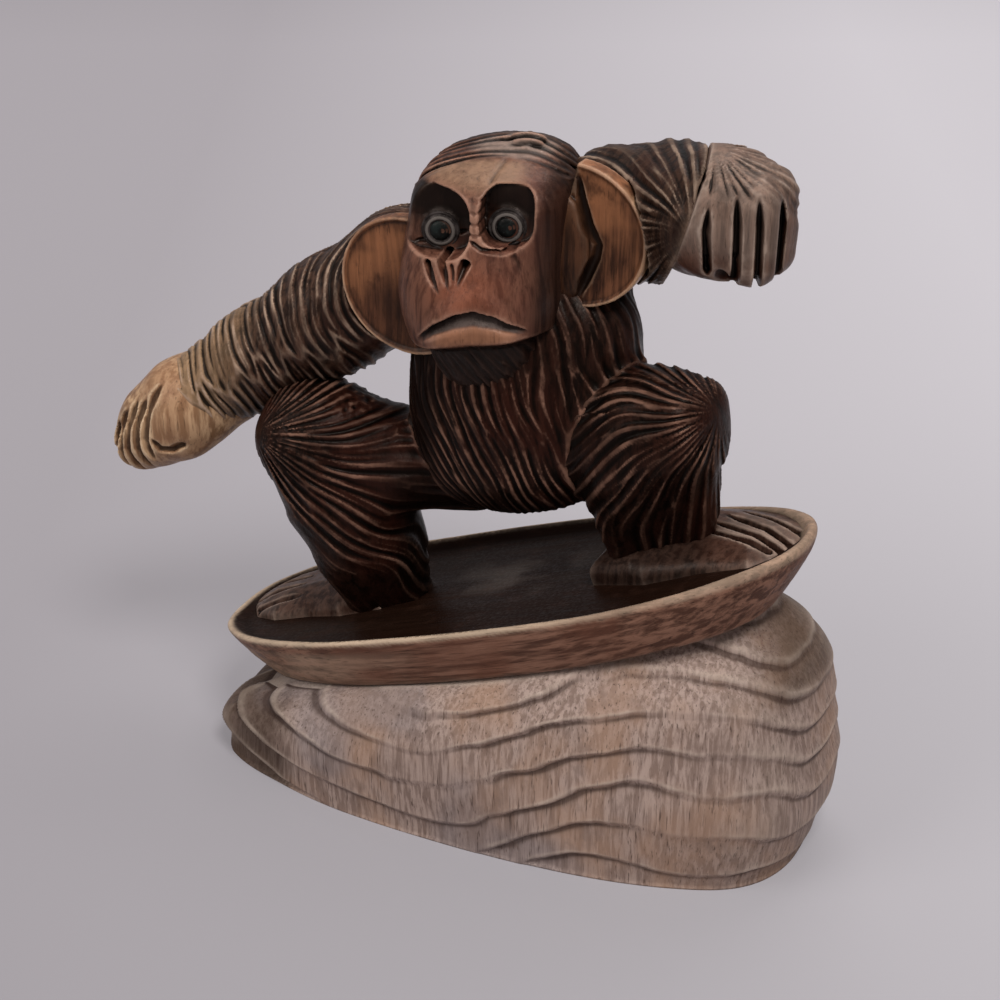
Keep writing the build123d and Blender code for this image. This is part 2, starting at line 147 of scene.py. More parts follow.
def stack(p, rows, power=2.0):
    # ovals one above the other: x, y, z, half width, half depth
    z = p[:, 2]
    x, y, wide, deep = [np.interp(z, rows[:, 2], rows[:, k]) for k in (0, 1, 3, 4)]
    side = oval(p[:, 0] - x, p[:, 1] - y, np.maximum(wide, 0.5), np.maximum(deep, 0.5), power)
    return np.maximum(side, np.maximum(rows[0, 2] - z, z - rows[-1, 2]))


def turned(heading):
    a = math.radians(heading)
    return np.array([[math.cos(a), math.sin(a), 0], [-math.sin(a), math.cos(a), 0], [0, 0, 1]])


def nearPath(u, v, path):
    # the distance from a drawn line, and how far along it as a share
    best, share, gone = np.full(u.shape, 1e9), np.zeros(u.shape), 0.0
    path = np.array(path, float)
    whole = np.hypot(*np.diff(path, axis=0).T).sum()
    for a, b in zip(path, path[1:]):
        run = b - a
        size = math.hypot(*run)
        t = np.clip(((u - a[0]) * run[0] + (v - a[1]) * run[1]) / size**2, 0, 1)
        distance = np.hypot(u - a[0] - t * run[0], v - a[1] - t * run[1])
        share = np.where(distance < best, (gone + t * size) / whole, share)
        best = np.minimum(best, distance)
        gone += size
    return best, share


def groove(u, v, path, width, depth, taper=0.25, tail=None):
    # how deep a gouge drawn along a path goes, tapering at both ends
    distance, share = nearPath(u, v, path)
    ends = ramp(share, 0, taper) * ramp(1 - share, 0, tail or taper)
    wide = width / 2 * (0.45 + 0.55 * ends)
    return depth * ends * np.clip(1 - (distance / wide)**2, 0, 1)


def gouges(across, along, pitch, run, seed, second=0.75):
    # rows of gouge strokes, 0 on the ridges and up to 1 in the cuts
    deepest = 0
    for layer, strength in enumerate((1.0, second) if second else (1.0,)):
        row = across / pitch + 0.5 * layer
        number = np.floor(row)
        t = 2 * (row - number) - 1
        step = along / run + 7 * randomAt(seed + layer, number)
        piece = np.floor(step)
        u = 2 * (step - piece) - 1
        depth = strength * (0.5 + 0.5 * randomAt(seed + 9 + layer, number, piece))
        deepest = np.maximum(deepest, depth * (1 - np.abs(t)**1.7) * (1 - 0.8 * u**6))
    return deepest


def fur(across, along, pitch, seed, cross=0.10, run=45):
    # two sets of strokes that cross at a small angle, as a hand-held gouge leaves them
    return np.maximum(gouges(across, along, pitch, run, seed, 0),
                      0.85 * gouges(across + cross * along, along, 1.3 * pitch, 0.8 * run, seed + 30, 0.5))


# From a field to a closed mesh

def netSurface(values, low, step):
    inside = values < 0
    count = np.zeros([n - 1 for n in values.shape], np.uint8)
    for shift in product((0, 1), repeat=3):
        count += inside[tuple(slice(s, s + n - 1) for s, n in zip(shift, values.shape))]
    cells = np.argwhere((count > 0) & (count < 8))
    number = np.full(count.shape, -1, np.int64)
    number[tuple(cells.T)] = np.arange(len(cells))
    total, crossings = np.zeros((len(cells), 3)), np.zeros(len(cells))
    for axis in range(3):
        for shift in product((0, 1), repeat=2):
            start = np.insert(np.array(shift), axis, 0)
            end = start.copy()
            end[axis] = 1
            a, b = values[tuple((cells + start).T)], values[tuple((cells + end).T)]
            crossed = (a < 0) != (b < 0)
            t = np.where(crossed, a / np.where(crossed, a - b, 1), 0)
            total += np.where(crossed[:, None], start + t[:, None] * (end - start), 0)
            crossings += crossed
    points = low + (cells + total / crossings[:, None]) * step
    faces = []
    for axis in range(3):
        u, v = (axis + 1) % 3, (axis + 2) % 3
        first = np.take(inside, range(values.shape[axis] - 1), axis)
        last = np.take(inside, range(1, values.shape[axis]), axis)
        edges = np.argwhere(first != last)
        edges = edges[(edges[:, u] > 0) & (edges[:, v] > 0)
                      & (edges[:, u] < values.shape[u] - 1) & (edges[:, v] < values.shape[v] - 1)]
        around = []
        for du, dv in ((1, 1), (0, 1), (0, 0), (1, 0)):
            cell = edges.copy()
            cell[:, u] -= du
            cell[:, v] -= dv
            around.append(number[tuple(cell.T)])
        quads = np.stack(around, 1)
        outward = inside[tuple(edges.T)]
        faces.append(np.where(outward[:, None], quads, quads[:, ::-1]))
    return points, np.vstack(faces)


def links(faces):
    return np.vstack([faces[:, [k, (k + 1) % 4]] for k in range(4)])


def largestPart(points, faces):
    pairs = links(faces)
    label = np.arange(len(points))
    while True:
        low = np.minimum(label[pairs[:, 0]], label[pairs[:, 1]])
        new = label.copy()
        np.minimum.at(new, pairs[:, 0], low)
        np.minimum.at(new, pairs[:, 1], low)
        new = new[new]
        if (new == label).all():
            break
        label = new
    kept = label == np.bincount(label).argmax()
    order = np.cumsum(kept) - 1
    return points[kept], order[faces[kept[faces[:, 0]]]]


def steepness(field, points, reach=0.12):
    slope = np.zeros(points.shape)
    for axis in range(3):
        shift = np.zeros(3)
        shift[axis] = reach
        slope[:, axis] = (field(points + shift) - field(points - shift)) / (2 * reach)
    return slope


def smoothed(points, pairs, rounds):
    count = np.bincount(pairs[:, 0], minlength=len(points))[:, None]
    made = points.copy()
    for _ in range(rounds):
        around = np.stack([np.bincount(pairs[:, 0], made[pairs[:, 1], k], len(points))
                           for k in range(3)], 1)
        made = 0.5 * made + 0.5 * around / count
    return made


def normalsOf(points, faces):
    a, b, c, d = [points[faces[:, k]] for k in range(4)]
    flat = np.cross(c - a, d - b)
    total = np.stack([np.bincount(faces.ravel(), np.repeat(flat[:, k], 4), len(points))
                      for k in range(3)], 1)
    return total / np.maximum(length(total), 1e-9)[:, None]


def carve(form, detail, low, high, step):
    # the mesh of form with detail cut into it, worked out only near the surface
    low, high = np.array(low, float) - 3 * step, np.array(high, float) + 3 * step
    coarse = 4 * step
    counts = np.ceil((high - low) / coarse).astype(int)
    middles = np.stack(np.meshgrid(*[np.arange(n) for n in counts], indexing="ij"), -1)
    middles = low + (middles.reshape(-1, 3) * 4 + 1.5) * step
    rough = form(middles)
    slope = np.maximum(length(steepness(form, middles, 0.5 * coarse)), 1)
    active = (np.abs(rough) / slope < 0.87 * coarse + 1.6).reshape(counts)
    values = np.where(rough < 0, -9.0, 9.0).reshape(counts)
    for axis in range(3):
        values, active = np.repeat(values, 4, axis), np.repeat(active, 4, axis)
    values = values.astype(np.float32)
    where = np.argwhere(active)
    points = low + where * step
    base = form(points)
    near = np.abs(base) < 4
    base[near] += detail(points[near])
    values[active] = base
    points, faces = largestPart(*netSurface(values, low, step))

    def whole(p):
        return form(p) + detail(p)

    for _ in range(2):
        slope = steepness(whole, points)
        size = np.maximum((slope**2).sum(1), 0.25)
        move = slope * (whole(points) / size)[:, None]
        far = np.maximum(length(move), 1e-9)
        points = points - move * np.minimum(1, 0.4 * step / far)[:, None]
    return points, faces


def store(mesh, flows):
    for key, flow in flows.items():
        mesh.attributes.new(key, "FLOAT", "POINT").data.foreach_set("value", flow.astype(np.float32))


def proudAndSunk(points, faces, rounds, lone=()):
    # how proud each point stands of the form near it, and how far that form is hollowed
    pairs = links(faces)
    pairs = np.vstack([np.unique(np.vstack([pairs, pairs[:, ::-1]]), axis=0), *[[[k, k]] for k in lone]])
    outward = normalsOf(points, faces)
    fine = smoothed(points, pairs, rounds[0])
    broad = smoothed(fine, pairs, rounds[1])
    return {"relief": ((points - fine) * outward).sum(1), "hollow": ((fine - broad) * outward).sum(1)}


def hang(name, mesh, material, node):
    # the mesh as a piece that takes the place of a node's solid
    mesh.polygons.foreach_set("use_smooth", np.ones(len(mesh.polygons), bool))
    mesh.materials.clear()
    mesh.materials.append(material)
    piece = bpy.data.objects.new(name, mesh)
    bpy.context.scene.collection.objects.link(piece)
    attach(piece, "root")
    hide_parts(node)
    print(name, sum(len(face.vertices) - 2 for face in mesh.polygons), "triangles")


def addPiece(name, points, faces, material, node, tones=None):
    mesh = bpy.data.meshes.new(name)
    mesh.from_pydata(points * metre, [], faces)
    mesh.update()
    rounds = ((12, 60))
    store(mesh, proudAndSunk(points, faces, rounds) | (tones or {}))
    hang(name, mesh, material, node)


# Node trees and materials

class Wire:
    # one number in a node tree, which takes Python sums
    def __init__(self, net, socket):
        self.net, self.socket = net, socket

    def __add__(self, other):
        return self.net.maths("ADD", self, other)

    def __sub__(self, other):
        return self.net.maths("SUBTRACT", self, other)

    def __rsub__(self, other):
        return self.net.maths("SUBTRACT", other, self)

    def __mul__(self, other):
        return self.net.maths("MULTIPLY", self, other)

    def __pow__(self, other):
        return self.net.maths("POWER", self, other)

    __radd__, __rmul__ = __add__, __mul__


class Net:
    def __init__(self, tree):
        self.tree = tree
        tree.nodes.clear()

    def node(self, kind, settings=None, inputs=None, output=0):
        made = self.tree.nodes.new(kind)
        for key, value in (settings or {}).items():
            setattr(made, key, value)
        for key, value in (inputs or {}).items():
            if isinstance(value, Wire):
                self.tree.links.new(value.socket, made.inputs[key])
            else:
                made.inputs[key].default_value = value
        return Wire(self, made.outputs[output]) if made.outputs else None

    def maths(self, operation, a, b):
        return self.node("ShaderNodeMath", {"operation": operation}, {0: a, 1: b})

    def limited(self, value, low, high, first=0.0, last=1.0, easing="SMOOTHSTEP"):
        return self.node("ShaderNodeMapRange", {"interpolation_type": easing},
                         {0: value, 1: low, 2: high, 3: first, 4: last})


class Paint(Net):
    def __init__(self, name):
        self.material = bpy.data.materials.new(name)
        self.material.use_nodes = True
        super().__init__(self.material.node_tree)
        self.place = self.node("ShaderNodeTexCoord", {}, {}, 3)

    def mix(self, factor, a, b):
        a, b = [x if isinstance(x, Wire) else (*x, 1) for x in (a, b)]
        return self.node("ShaderNodeMix", {"data_type": "RGBA"}, {0: factor, 6: a, 7: b}, 2)

    def grain(self, scale, size, detail, rough, turn=(0, 0, 0), twist=0.0):
        spot = self.node("ShaderNodeMapping", {"vector_type": "TEXTURE"},
                         {"Vector": self.place, "Rotation": turn, "Scale": [1 / x for x in scale]})
        return self.node("ShaderNodeTexNoise", {}, {"Vector": spot, "Scale": size, "Detail": detail,
                                                    "Roughness": rough, "Distortion": twist})

    def value(self, name):
        return self.node("ShaderNodeAttribute", {"attribute_name": name}, {}, 2)

    def finish(self, colour, rough, bump, strength, distance, shine):
        normal = self.node("ShaderNodeBump", {}, {"Strength": strength, "Distance": distance,
                                                  "Height": bump})
        shader = self.node("ShaderNodeBsdfPrincipled", {}, {
            "Base Color": colour, "Roughness": rough, "Normal": normal, "Specular IOR Level": shine,
            "Specular Tint": (*srgb(236, 214, 202), 1)})
        self.node("ShaderNodeOutputMaterial", {}, {"Surface": shader})
        return self.material


def srgb(*levels):
    return tuple(((x / 255 + 0.055) / 1.055)**2.4 if x > 10 else x / 255 / 12.92 for x in levels)


tilt = math.radians(21.5)  # of the board, and of its grain
plainLook = {  # what a wood has where its own look says nothing else
    "turn": (0, 0, 0), "streaks": 420, "tones": {}, "blotch": 0.4, "pores": 0.5, "cutStainAndShade": 0.8,
    "hollowGrimeAndShade": 0.7, "wearAndHighlight": 0.7, "edgeWearAndHighlight": 0.4, "rough": (0.26, 0.48), "bump": 0.5, "shine": 0.2,
}


def woodFinish(name, look):
    # stained carved wood: streaks and pores along the grain; cuts and hollows darkened with pooled stain and
    # painted shade; ridges and edges lightened with wear and painted highlights; a stored mask of stain and
    # painted shade
    look = plainLook | look
    deep, dark, mid, warm, worn = [srgb(*look[key]) for key in ("deep", "dark", "mid", "warm", "worn")]
    paint = Paint(name)
    streak = paint.grain((1, 1, 0.07), look["streaks"], 4, 0.6, look["turn"], 0.3)
    fibre = paint.grain((1, 1, 0.05), 1500, 2, 0.6, look["turn"])
    cloud = paint.grain((1, 1, 0.6), 38, 3, 0.6)
    speck = paint.grain((1, 1, 0.8), 900, 3, 0.65)
    blotch = paint.grain((1, 1, 0.7), 120, 4, 0.65)
    patch = paint.grain((1, 1, 1), 75, 3, 0.6)
    relief, hollow = paint.value("relief"), paint.value("hollow")
    body = paint.mix(paint.limited(streak, 0.38, 0.62), dark, mid)
    body = paint.mix(paint.limited(cloud, 0.42, 0.66) * 0.6, body, warm)
    for key, tint in look["tones"].items():
        tint = srgb(*tint)
        tone = paint.mix(paint.limited(streak, 0.3, 0.7), [0.7 * x for x in tint], tint)
        body = paint.mix(paint.value(key), body, tone)
    body = paint.mix(paint.limited(blotch, 0.52, 0.70) * look["blotch"], body, dark)
    body = paint.mix(paint.limited(fibre, 0.58, 0.72) * look["pores"], body, deep)
    # cuts painted darker: stain pooled in them, and painted shade
    sunk = paint.limited(relief + (speck - 0.5) * 0.05, 0.02, -0.2)
    body = paint.mix(sunk * look["cutStainAndShade"], body, deep)
    # broad hollows painted darker: painted shade, over wax gathered in them
    body = paint.mix(paint.limited(hollow, 0.1, -1.2) * look["hollowGrimeAndShade"], body, deep)
    # ridge tops painted lighter: worn wood, and painted highlights where wax would catch the light
    proud = paint.limited(relief + (speck - 0.5) * 0.12, 0.04, 0.26)
    body = paint.mix(proud * paint.limited(patch, 0.36, 0.66, 0.25, 1.0) * look["wearAndHighlight"], body, worn)
    # convex edges painted lighter: edge wear, and painted highlights
    edge = paint.limited(hollow + (speck - 0.5) * 0.3, 0.15, 0.8)
    body = paint.mix(edge * look["edgeWearAndHighlight"], body, worn)
    # a stored mask painted dark: dark stain in some places, painted shade in sockets, creases, joins and
    # shaded sides in others
    body = paint.mix(paint.value("stainAndShade"), body, deep)
    rough = paint.limited(speck + streak * 0.4, 0.4, 0.9, *look["rough"])
    bump = streak * 0.5 + fibre * 0.35 + speck * 0.35
    return paint.finish(body, rough, bump, look["bump"], 0.0004, look["shine"])


looks = {
    "body": {"deep": (4, 2, 1), "dark": (13, 6, 4), "mid": (36, 19, 13),
             "warm": (46, 20, 13), "worn": (126, 92, 76), "wearAndHighlight": 0.74, "edgeWearAndHighlight": 0.06,
             "cutStainAndShade": 0.97, "shine": 0.09},
    "arm": {"deep": (6, 4, 3), "dark": (30, 18, 13), "mid": (68, 47, 36), "shine": 0.15,
            "warm": (58, 33, 25), "worn": (164, 138, 118), "wearAndHighlight": 0.8, "cutStainAndShade": 0.95,
            "edgeWearAndHighlight": 0.2, "tones": {"pale": (160, 128, 96)}},
    "face": {"deep": (6, 4, 3), "dark": (58, 34, 26), "mid": (98, 64, 50),
             "warm": (84, 46, 36), "worn": (160, 120, 100), "pores": 0.35, "edgeWearAndHighlight": 0.25,
             "cutStainAndShade": 0.85, "rough": (0.28, 0.45),
             # light and crest: painted highlights on the brow and on the hair cap's top, over lighter wood
             "tones": {"light": (134, 104, 82), "red": (132, 76, 54), "lip": (134, 91, 67),
                       "grey": (70, 62, 58), "crest": (150, 132, 120)}},
    "ear": {"deep": (16, 9, 6), "dark": (40, 22, 15), "mid": (100, 63, 43), "blotch": 0.7,
            "warm": (70, 42, 29), "worn": (178, 142, 116), "edgeWearAndHighlight": 0.15, "wearAndHighlight": 0.45,
            # rim: painted highlight along the ear's edge, over worn wood
            "tones": {"tan": (140, 91, 61), "rim": (196, 156, 120)}},
    "pale": {"deep": (36, 22, 15), "dark": (122, 90, 64), "mid": (182, 148, 114),
             "warm": (134, 96, 70), "worn": (204, 176, 144), "cutStainAndShade": 0.75},
    "hand": {"deep": (9, 6, 5), "dark": (54, 35, 26), "mid": (98, 70, 55), "shine": 0.15,
             "warm": (86, 52, 39), "worn": (158, 138, 124), "edgeWearAndHighlight": 0.22, "cutStainAndShade": 0.97,
             # pale: on the fist, painted highlights on the knuckles and top
             "tones": {"pale": (136, 119, 108), "red": (66, 36, 26)}},
    "foot": {"deep": (8, 5, 4), "dark": (38, 25, 20), "mid": (80, 58, 48),
             "warm": (60, 36, 27), "worn": (146, 124, 110), "cutStainAndShade": 0.95},
    "board": {"deep": (8, 5, 4), "dark": (74, 49, 39), "mid": (128, 93, 76),
              "warm": (96, 60, 46), "worn": (170, 148, 128), "turn": (0, math.radians(90) - tilt, 0),
              "blotch": 0.12, "edgeWearAndHighlight": 0.0, "wearAndHighlight": 0.2, "cutStainAndShade": 0.3, "hollowGrimeAndShade": 0.0,
              "rough": (0.3, 0.55), "shine": 0.07,
              "tones": {"deck": (28, 14, 8), "grey": (80, 70, 64), "creamAndRimHighlight": (186, 162, 138)}},
    "wave": {"deep": (50, 34, 28), "dark": (124, 104, 94), "mid": (161, 140, 129),
             "warm": (154, 122, 100), "worn": (192, 174, 158), "pores": 0.65, "cutStainAndShade": 0.65, "blotch": 0.55,
             "hollowGrimeAndShade": 0.5, "wearAndHighlight": 0.4, "edgeWearAndHighlight": 0.15, "rough": (0.45, 0.7), "streaks": 700,
             "bump": 0.8, "tones": {"olive": (66, 51, 39), "lilac": (134, 122, 120)}},
}


# The figure's body, in millimetres

boardTurn = np.array([[math.cos(tilt), 0, math.sin(tilt)], [0, 1, 0],
                      [-math.sin(tilt), 0, math.cos(tilt)]])
boardFoot = np.array([-3.5, -3.0, 63.8 - 3.5 * math.tan(tilt)])


def onBoard(p):
    return (p - boardFoot) @ boardTurn.T


# the side that the photo shows: across it, towards the viewer, and the plane its strokes lie in
viewAcross, viewNear = np.array([0.891, 0.454, 0.0]), np.array([0.454, -0.891, 0.0])
frontPlane = np.array([viewAcross, (-0.220, 0.432, 0.875)])
trunkRows = smoothRows([
    (-8.0, 1.0, 106.5, 0.5, 0.5), (-8.0, 1.0, 110.5, 19.0, 14.5), (-5.0, 1.0, 119.0, 30.5, 21.6),
    (-3.2, 1.0, 131.5, 36.4, 25.4), (-2.2, 1.0, 148.2, 38.0, 27.0), (-1.4, 2.1, 165.9, 36.6, 25.1),
    (-0.6, 3.7, 180.7, 31.2, 22.1), (-5.2, 5.3, 192.8, 18.8, 16.2), (-6.8, 6.4, 201.2, 0.5, 0.5)])
ears = {
    "right": {"centre": (-31.5, -16.0, 182.8), "halves": (22.6, 21.6), "rim": 0.8, "dish": 0.9},
    "left": {"centre": (17.5, -6.0, 204.2), "halves": (23.0, 21.8), "rim": 0.8, "dish": 0.7},
}
figure = {
    "rightArm": [(-8, 11, 190, 17.5), (-44.6, 5.6, 176.6, 19.8), (-70.1, 1.8, 158.4, 19.0),
                 (-95.6, -3.2, 140.2, 16.8), (-118, -10, 124.5, 14.6)],
    "leftArm": [(4, 16, 191, 17.5), (22, 14.7, 203.4, 19.8), (41.4, 10.4, 209.0, 20.0),
                (56, 1, 213.5, 18.6), (68, -4, 216, 17.6)],
    "rightLeg": [(-20, 1, 116, 14.5), (-46, -5, 116, 16.5), (-69, -11, 120.5, 19.5),
                 (-61.0, -8.5, 102, 20.2), (-55.5, -6, 84, 18.2), (-50.5, -4, 66, 15.8)],
    "leftLeg": [(16, 1, 135.5, 16.5), (36, -3, 142, 19.5), (47, -7, 147, 17.5),
                (42.6, -4, 136, 19.4), (43.4, -1, 121, 18.8), (44.6, 2, 102, 16.6)],
}


def trunkForm(p):
    return stack(p, trunkRows)


def beyondWrist(p):
    # how far past the line where the left arm meets its fist a point lies
    a, b = (p @ frontPlane.T).T
    return a - 48 + 0.31 * (190.3 - b)


def earBed(side):
    # the room in front of a shoulder that the ear plate fills
    (x, y, z), (wide, high) = ears[side]["centre"], ears[side]["halves"]
    return lambda p: np.maximum(np.hypot(p[:, 0] - x, (p[:, 2] - z) * wide / high) - wide - 0.4,
                                p[:, 1] - y - 2.2)


def armForm(side):
    bed = earBed(side)

    def form(p):
        d = np.maximum(limb(p, figure[side + "Arm"], 6), -bed(p))
        return np.maximum(d, beyondWrist(p) - 0.8) if side == "left" else d
    return form


def shin(p, leg, front, foot):
    # the leg drawn in towards its foot on the side that the viewer sees
    near = p @ viewNear - front - 0.5 * (p[:, 2] - foot)
    return cut(leg, -near, 4)


def rightLegForm(p):
    return shin(p, limb(p, figure["rightLeg"], 7), -11.6, 61)


def leftLegForm(p):
    knee = block(p, (47.6, -7.5, 150), (15.5, 15.5, 14.5), 8, turned(-8))
    return shin(p, join(limb(p, figure["leftLeg"], 7), knee, 5), 23, 97)


forms = {"trunk": trunkForm, "rightArm": armForm("right"), "leftArm": armForm("left"),
         "rightLeg": rightLegForm, "leftLeg": leftLegForm}
neighbours = {key: ("trunk",) for key in figure} | {"trunk": tuple(figure)}
seam = {"soft": 5.0, "reach": 1.6, "dive": 0.5}


def bodyForm(key):
    # one of the body's forms, blended into its neighbours and ended just inside them
    def form(p):
        own = forms[key](p)
        others = [forms[other](p) for other in neighbours[key]]
        whole = own
        for other in others:
            whole = join(whole, other, seam["soft"])
        border = own - np.minimum.reduce(others)
        sunk = whole + seam["dive"] * ramp(border, 0, seam["reach"])
        return np.maximum(sunk, border - seam["reach"])
    return form


def trunkHair(p):
    turn = np.arctan2(p[:, 0] + 3, -(p[:, 1] - 2))
    fall = np.maximum(158 - p[:, 2], 0)
    across = turn * 29 - 0.010 * fall**2 + 4.0 * noise(p, 34, 3) + 2.0 * noise(p, 13, 4)
    return 1.4 * fur(across, p[:, 2], 3.9, 5, 0.16, 44)


def rightArmHair(p):
    a, b = (p @ frontPlane.T).T
    away = np.hypot(a + 42, b - 160)
    back = ramp(p[:, 1] - np.interp(p[:, 0], (-118, -70, -8), (-10, 1.8, 11)), 0, 8)
    away = away + back * (-0.895 * (a + 42) - 0.446 * (b - 160) - away)
    away = away + 1.6 * noise(p, 24, 11) + 0.7 * noise(p, 9, 12)
    border = b - 144 - 0.29 * (a + 60) + 5 * noise(np.stack([away, away * 0, away * 0], 1), 2.2, 13)
    upper = fur(away, b, 2.9, 14, 0.06, 70)
    lower = fur(away + 1.3, b, 2.7, 16, -0.08, 70)
    return 1.6 * np.where(border > 0, upper, lower) * (1 - 0.9 * np.exp(-(border / 2.5)**2))


def fan(apex, pitch, curl, seed, waver=5.0):
    # strokes that spread from a point of the front plane and bend as they go
    def hair(p):
        a, b = (p @ frontPlane.T - apex).T
        far = np.hypot(a, b)
        spin = np.degrees(np.arctan2(b, a)) - curl * far + waver * noise(p, 20, seed)
        return ramp(far, 0.5, 13) * fur(spin, far, pitch, seed + 1, 0.12, 55)
    return hair


leftArmFan, rightLegFan = fan((41.7, 167), 8.5, 0.4, 21), fan((-87, 117), 5.6, 0.35, 31, 6.0)
leftLegFan = fan((54, 121), 7.0, 0.35, 41, 6.0)


def leftLegHair(p):
    a, b = (p @ frontPlane.T - (54, 121)).T
    return 1.6 * leftLegFan(p) * (1 - 0.75 * ramp(a + 0.25 * b, -1, 3))


def rightLegHair(p):
    moss = ramp(p[:, 2], 133, 137) * ramp(p[:, 0], -62, -54)
    rough = 0.5 + 0.5 * noise(p, 2.6, 34) + 0.4 * noise(p, 1.4, 35)
    return 1.5 * rightLegFan(p) * (1 - moss) + 0.8 * moss * np.clip(rough, 0, 1)


hairs = {"trunk": trunkHair, "rightArm": rightArmHair, "leftArm": lambda p: 1.5 * leftArmFan(p),
         "rightLeg": rightLegHair, "leftLeg": leftLegHair}
boxes = {"trunk": ((-42, -30, 105), (40, 32, 206)), "rightArm": ((-134, -27, 106), (4, 31, 212)),
         "leftArm": ((-14, -22, 168), (78, 36, 236)), "rightLeg": ((-92, -34, 52), (-2, 24, 146)),
         "leftLeg": ((4, -30, 88), (72, 26, 172))}


def bodyTones(key, p):
    # where stain pooled, where painted shade lies under the body and between the legs and trunk, and where
    # the pale wood shows through
    if key == "rightArm":
        # the forearm is darker along its lower side towards the wrist
        lower = ramp(p @ frontPlane[1] - 128 - 0.3 * (p @ frontPlane[0] + 80), 6, -10)
        return {"pale": ramp(p[:, 0], -84, -116) * 0.7, "stainAndShade": 0.6 * lower * ramp(p[:, 0], -108, -90)}
    if key == "trunk":
        # painted shade over darker stain: the lower belly and the side turned from the light
        return {"stainAndShade": 0.75 * np.maximum(ramp(p[:, 2], 128, 112), ramp(p[:, 0] + 0.45 * p[:, 1], -26, -34))}
    if key == "leftArm":
        return {"stainAndShade": 0.3 + 0 * p[:, 0]}
    if key == "leftLeg":
        # painted shade on the leg's inner side, where it meets the body
        return {"stainAndShade": 0.7 * ramp(p[:, 0], 36, 24)}
    if key == "rightLeg":
        # painted shade on the inner thigh under the belly
        return {"stainAndShade": 0.7 * ramp(p[:, 0], -44, -34) * ramp(p[:, 2], 128, 116)}
    return {}


bodyWood = woodFinish("stainedBody", looks["body"])
armWood = woodFinish("stainedArm", looks["arm"])
for key in forms:
    node, material = key.replace("Arm", "_arm").replace("Leg", "_leg"), armWood if "Arm" in key else bodyWood
    points, faces = carve(bodyForm(key), hairs[key], *boxes[key], 0.62)
    addPiece(key + "Carving", points, faces, material, node, bodyTones(key, points))


# Head

headTurn, headFoot = turned(12), np.array([-7.5, -5.0, 156.2])
headRows = smoothRows([
    (-1, -10.8, -3, 6, 5), (-1, -10.8, 1, 15.5, 11), (-1, -9.8, 10, 20.5, 16.5),
    (-2.6, -7.8, 22, 23.2, 21.6), (-3, -3.9, 35, 24.2, 23.6), (-1.6, 0, 48.2, 24.4, 24),
    (-0.3, 1, 58.0, 23.8, 23.2), (1.0, 2.5, 63.6, 20.2, 19.8), (3.2, 4.5, 67.2, 13.6, 13.0),
    (5.0, 6, 69.6, 6, 5), (5.0, 6, 70.2, 0.5, 0.5)])
face = {
    "swells": (((-3, -13.5, 30), (22.0, 15.5, 17), 4), ((-6.5, -21.5, 42), (7.5, 4.8, 7.5), 2)),
    "eyes": ((-13.2, -16.6, 48.8), (6.8, -17.4, 52.0)),
    "sockets": (((-14.0, 52.6), (11.2, 9.4), 13.8), ((7.4, 56.0), (7.6, 8.2), 14.7)),
    "mouth": [(-19.5, 14.5), (-17.4, 19.5), (-12, 25.2), (-5.5, 29.2), (0.3, 31), (6.4, 29.6),
              (12, 26.4), (16, 23.5)],
    "lipFoot": [(-24, 13.5), (-18, 14), (-10, 16.8), (-1.3, 19), (7.2, 20), (13, 20.8), (18, 21), (26, 20)],
    "slots": (([(-15.4, 42.8), (-13.1, 38.4), (-9.8, 33.4)], 2.6, 2.6),
              ([(-11.0, 44.2), (-9.4, 40.5), (-7.2, 35)], 2.9, 3.2),
              ([(-7.2, 43.4), (-6.5, 40), (-5.9, 35.5)], 1.3, 0.9),
              ([(-2.6, 44.6), (-3.9, 41.6), (-5.2, 36)], 3.3, 3.4),
              ([(9.4, 46.6), (11.2, 44.0), (13.0, 40)], 2.6, 0.5)),
    "underEyes": ([(-22, 44.5), (-17, 45.6), (-12.5, 46.2), (-8.4, 48.2), (-4.6, 49.2)],
                  [(-3.0, 49.6), (1.0, 47.2), (6.5, 46.6), (11.5, 47.8)]),
}


def capRise(q):
    # how far above the hair line a point lies; behind the brow the line drops away
    front = -q[:, 1]
    return (q[:, 2] - 67.7 + 0.014 * (q[:, 0] - 3)**2 + 0.15 * (4 - front)
            + 3.0 * np.maximum(-7 - front, 0))


def lipShare(x, z):
    # how far down from the mouth to the lower lip's foot a point lies, and that foot's height
    mouth, lipFoot = [np.interp(x, *np.array(face[key]).T) for key in ("mouth", "lipFoot")]
    return (mouth - z) / np.maximum(mouth - lipFoot, 1), lipFoot


def socketReach(x, z, middle, halves):
    # 1 on the rim of an eye socket, less inside
    u, v = [np.abs((place - centre) / half) for place, centre, half in zip((x, z), middle, halves)]
    return (u**3 + v**3)**(1 / 3)


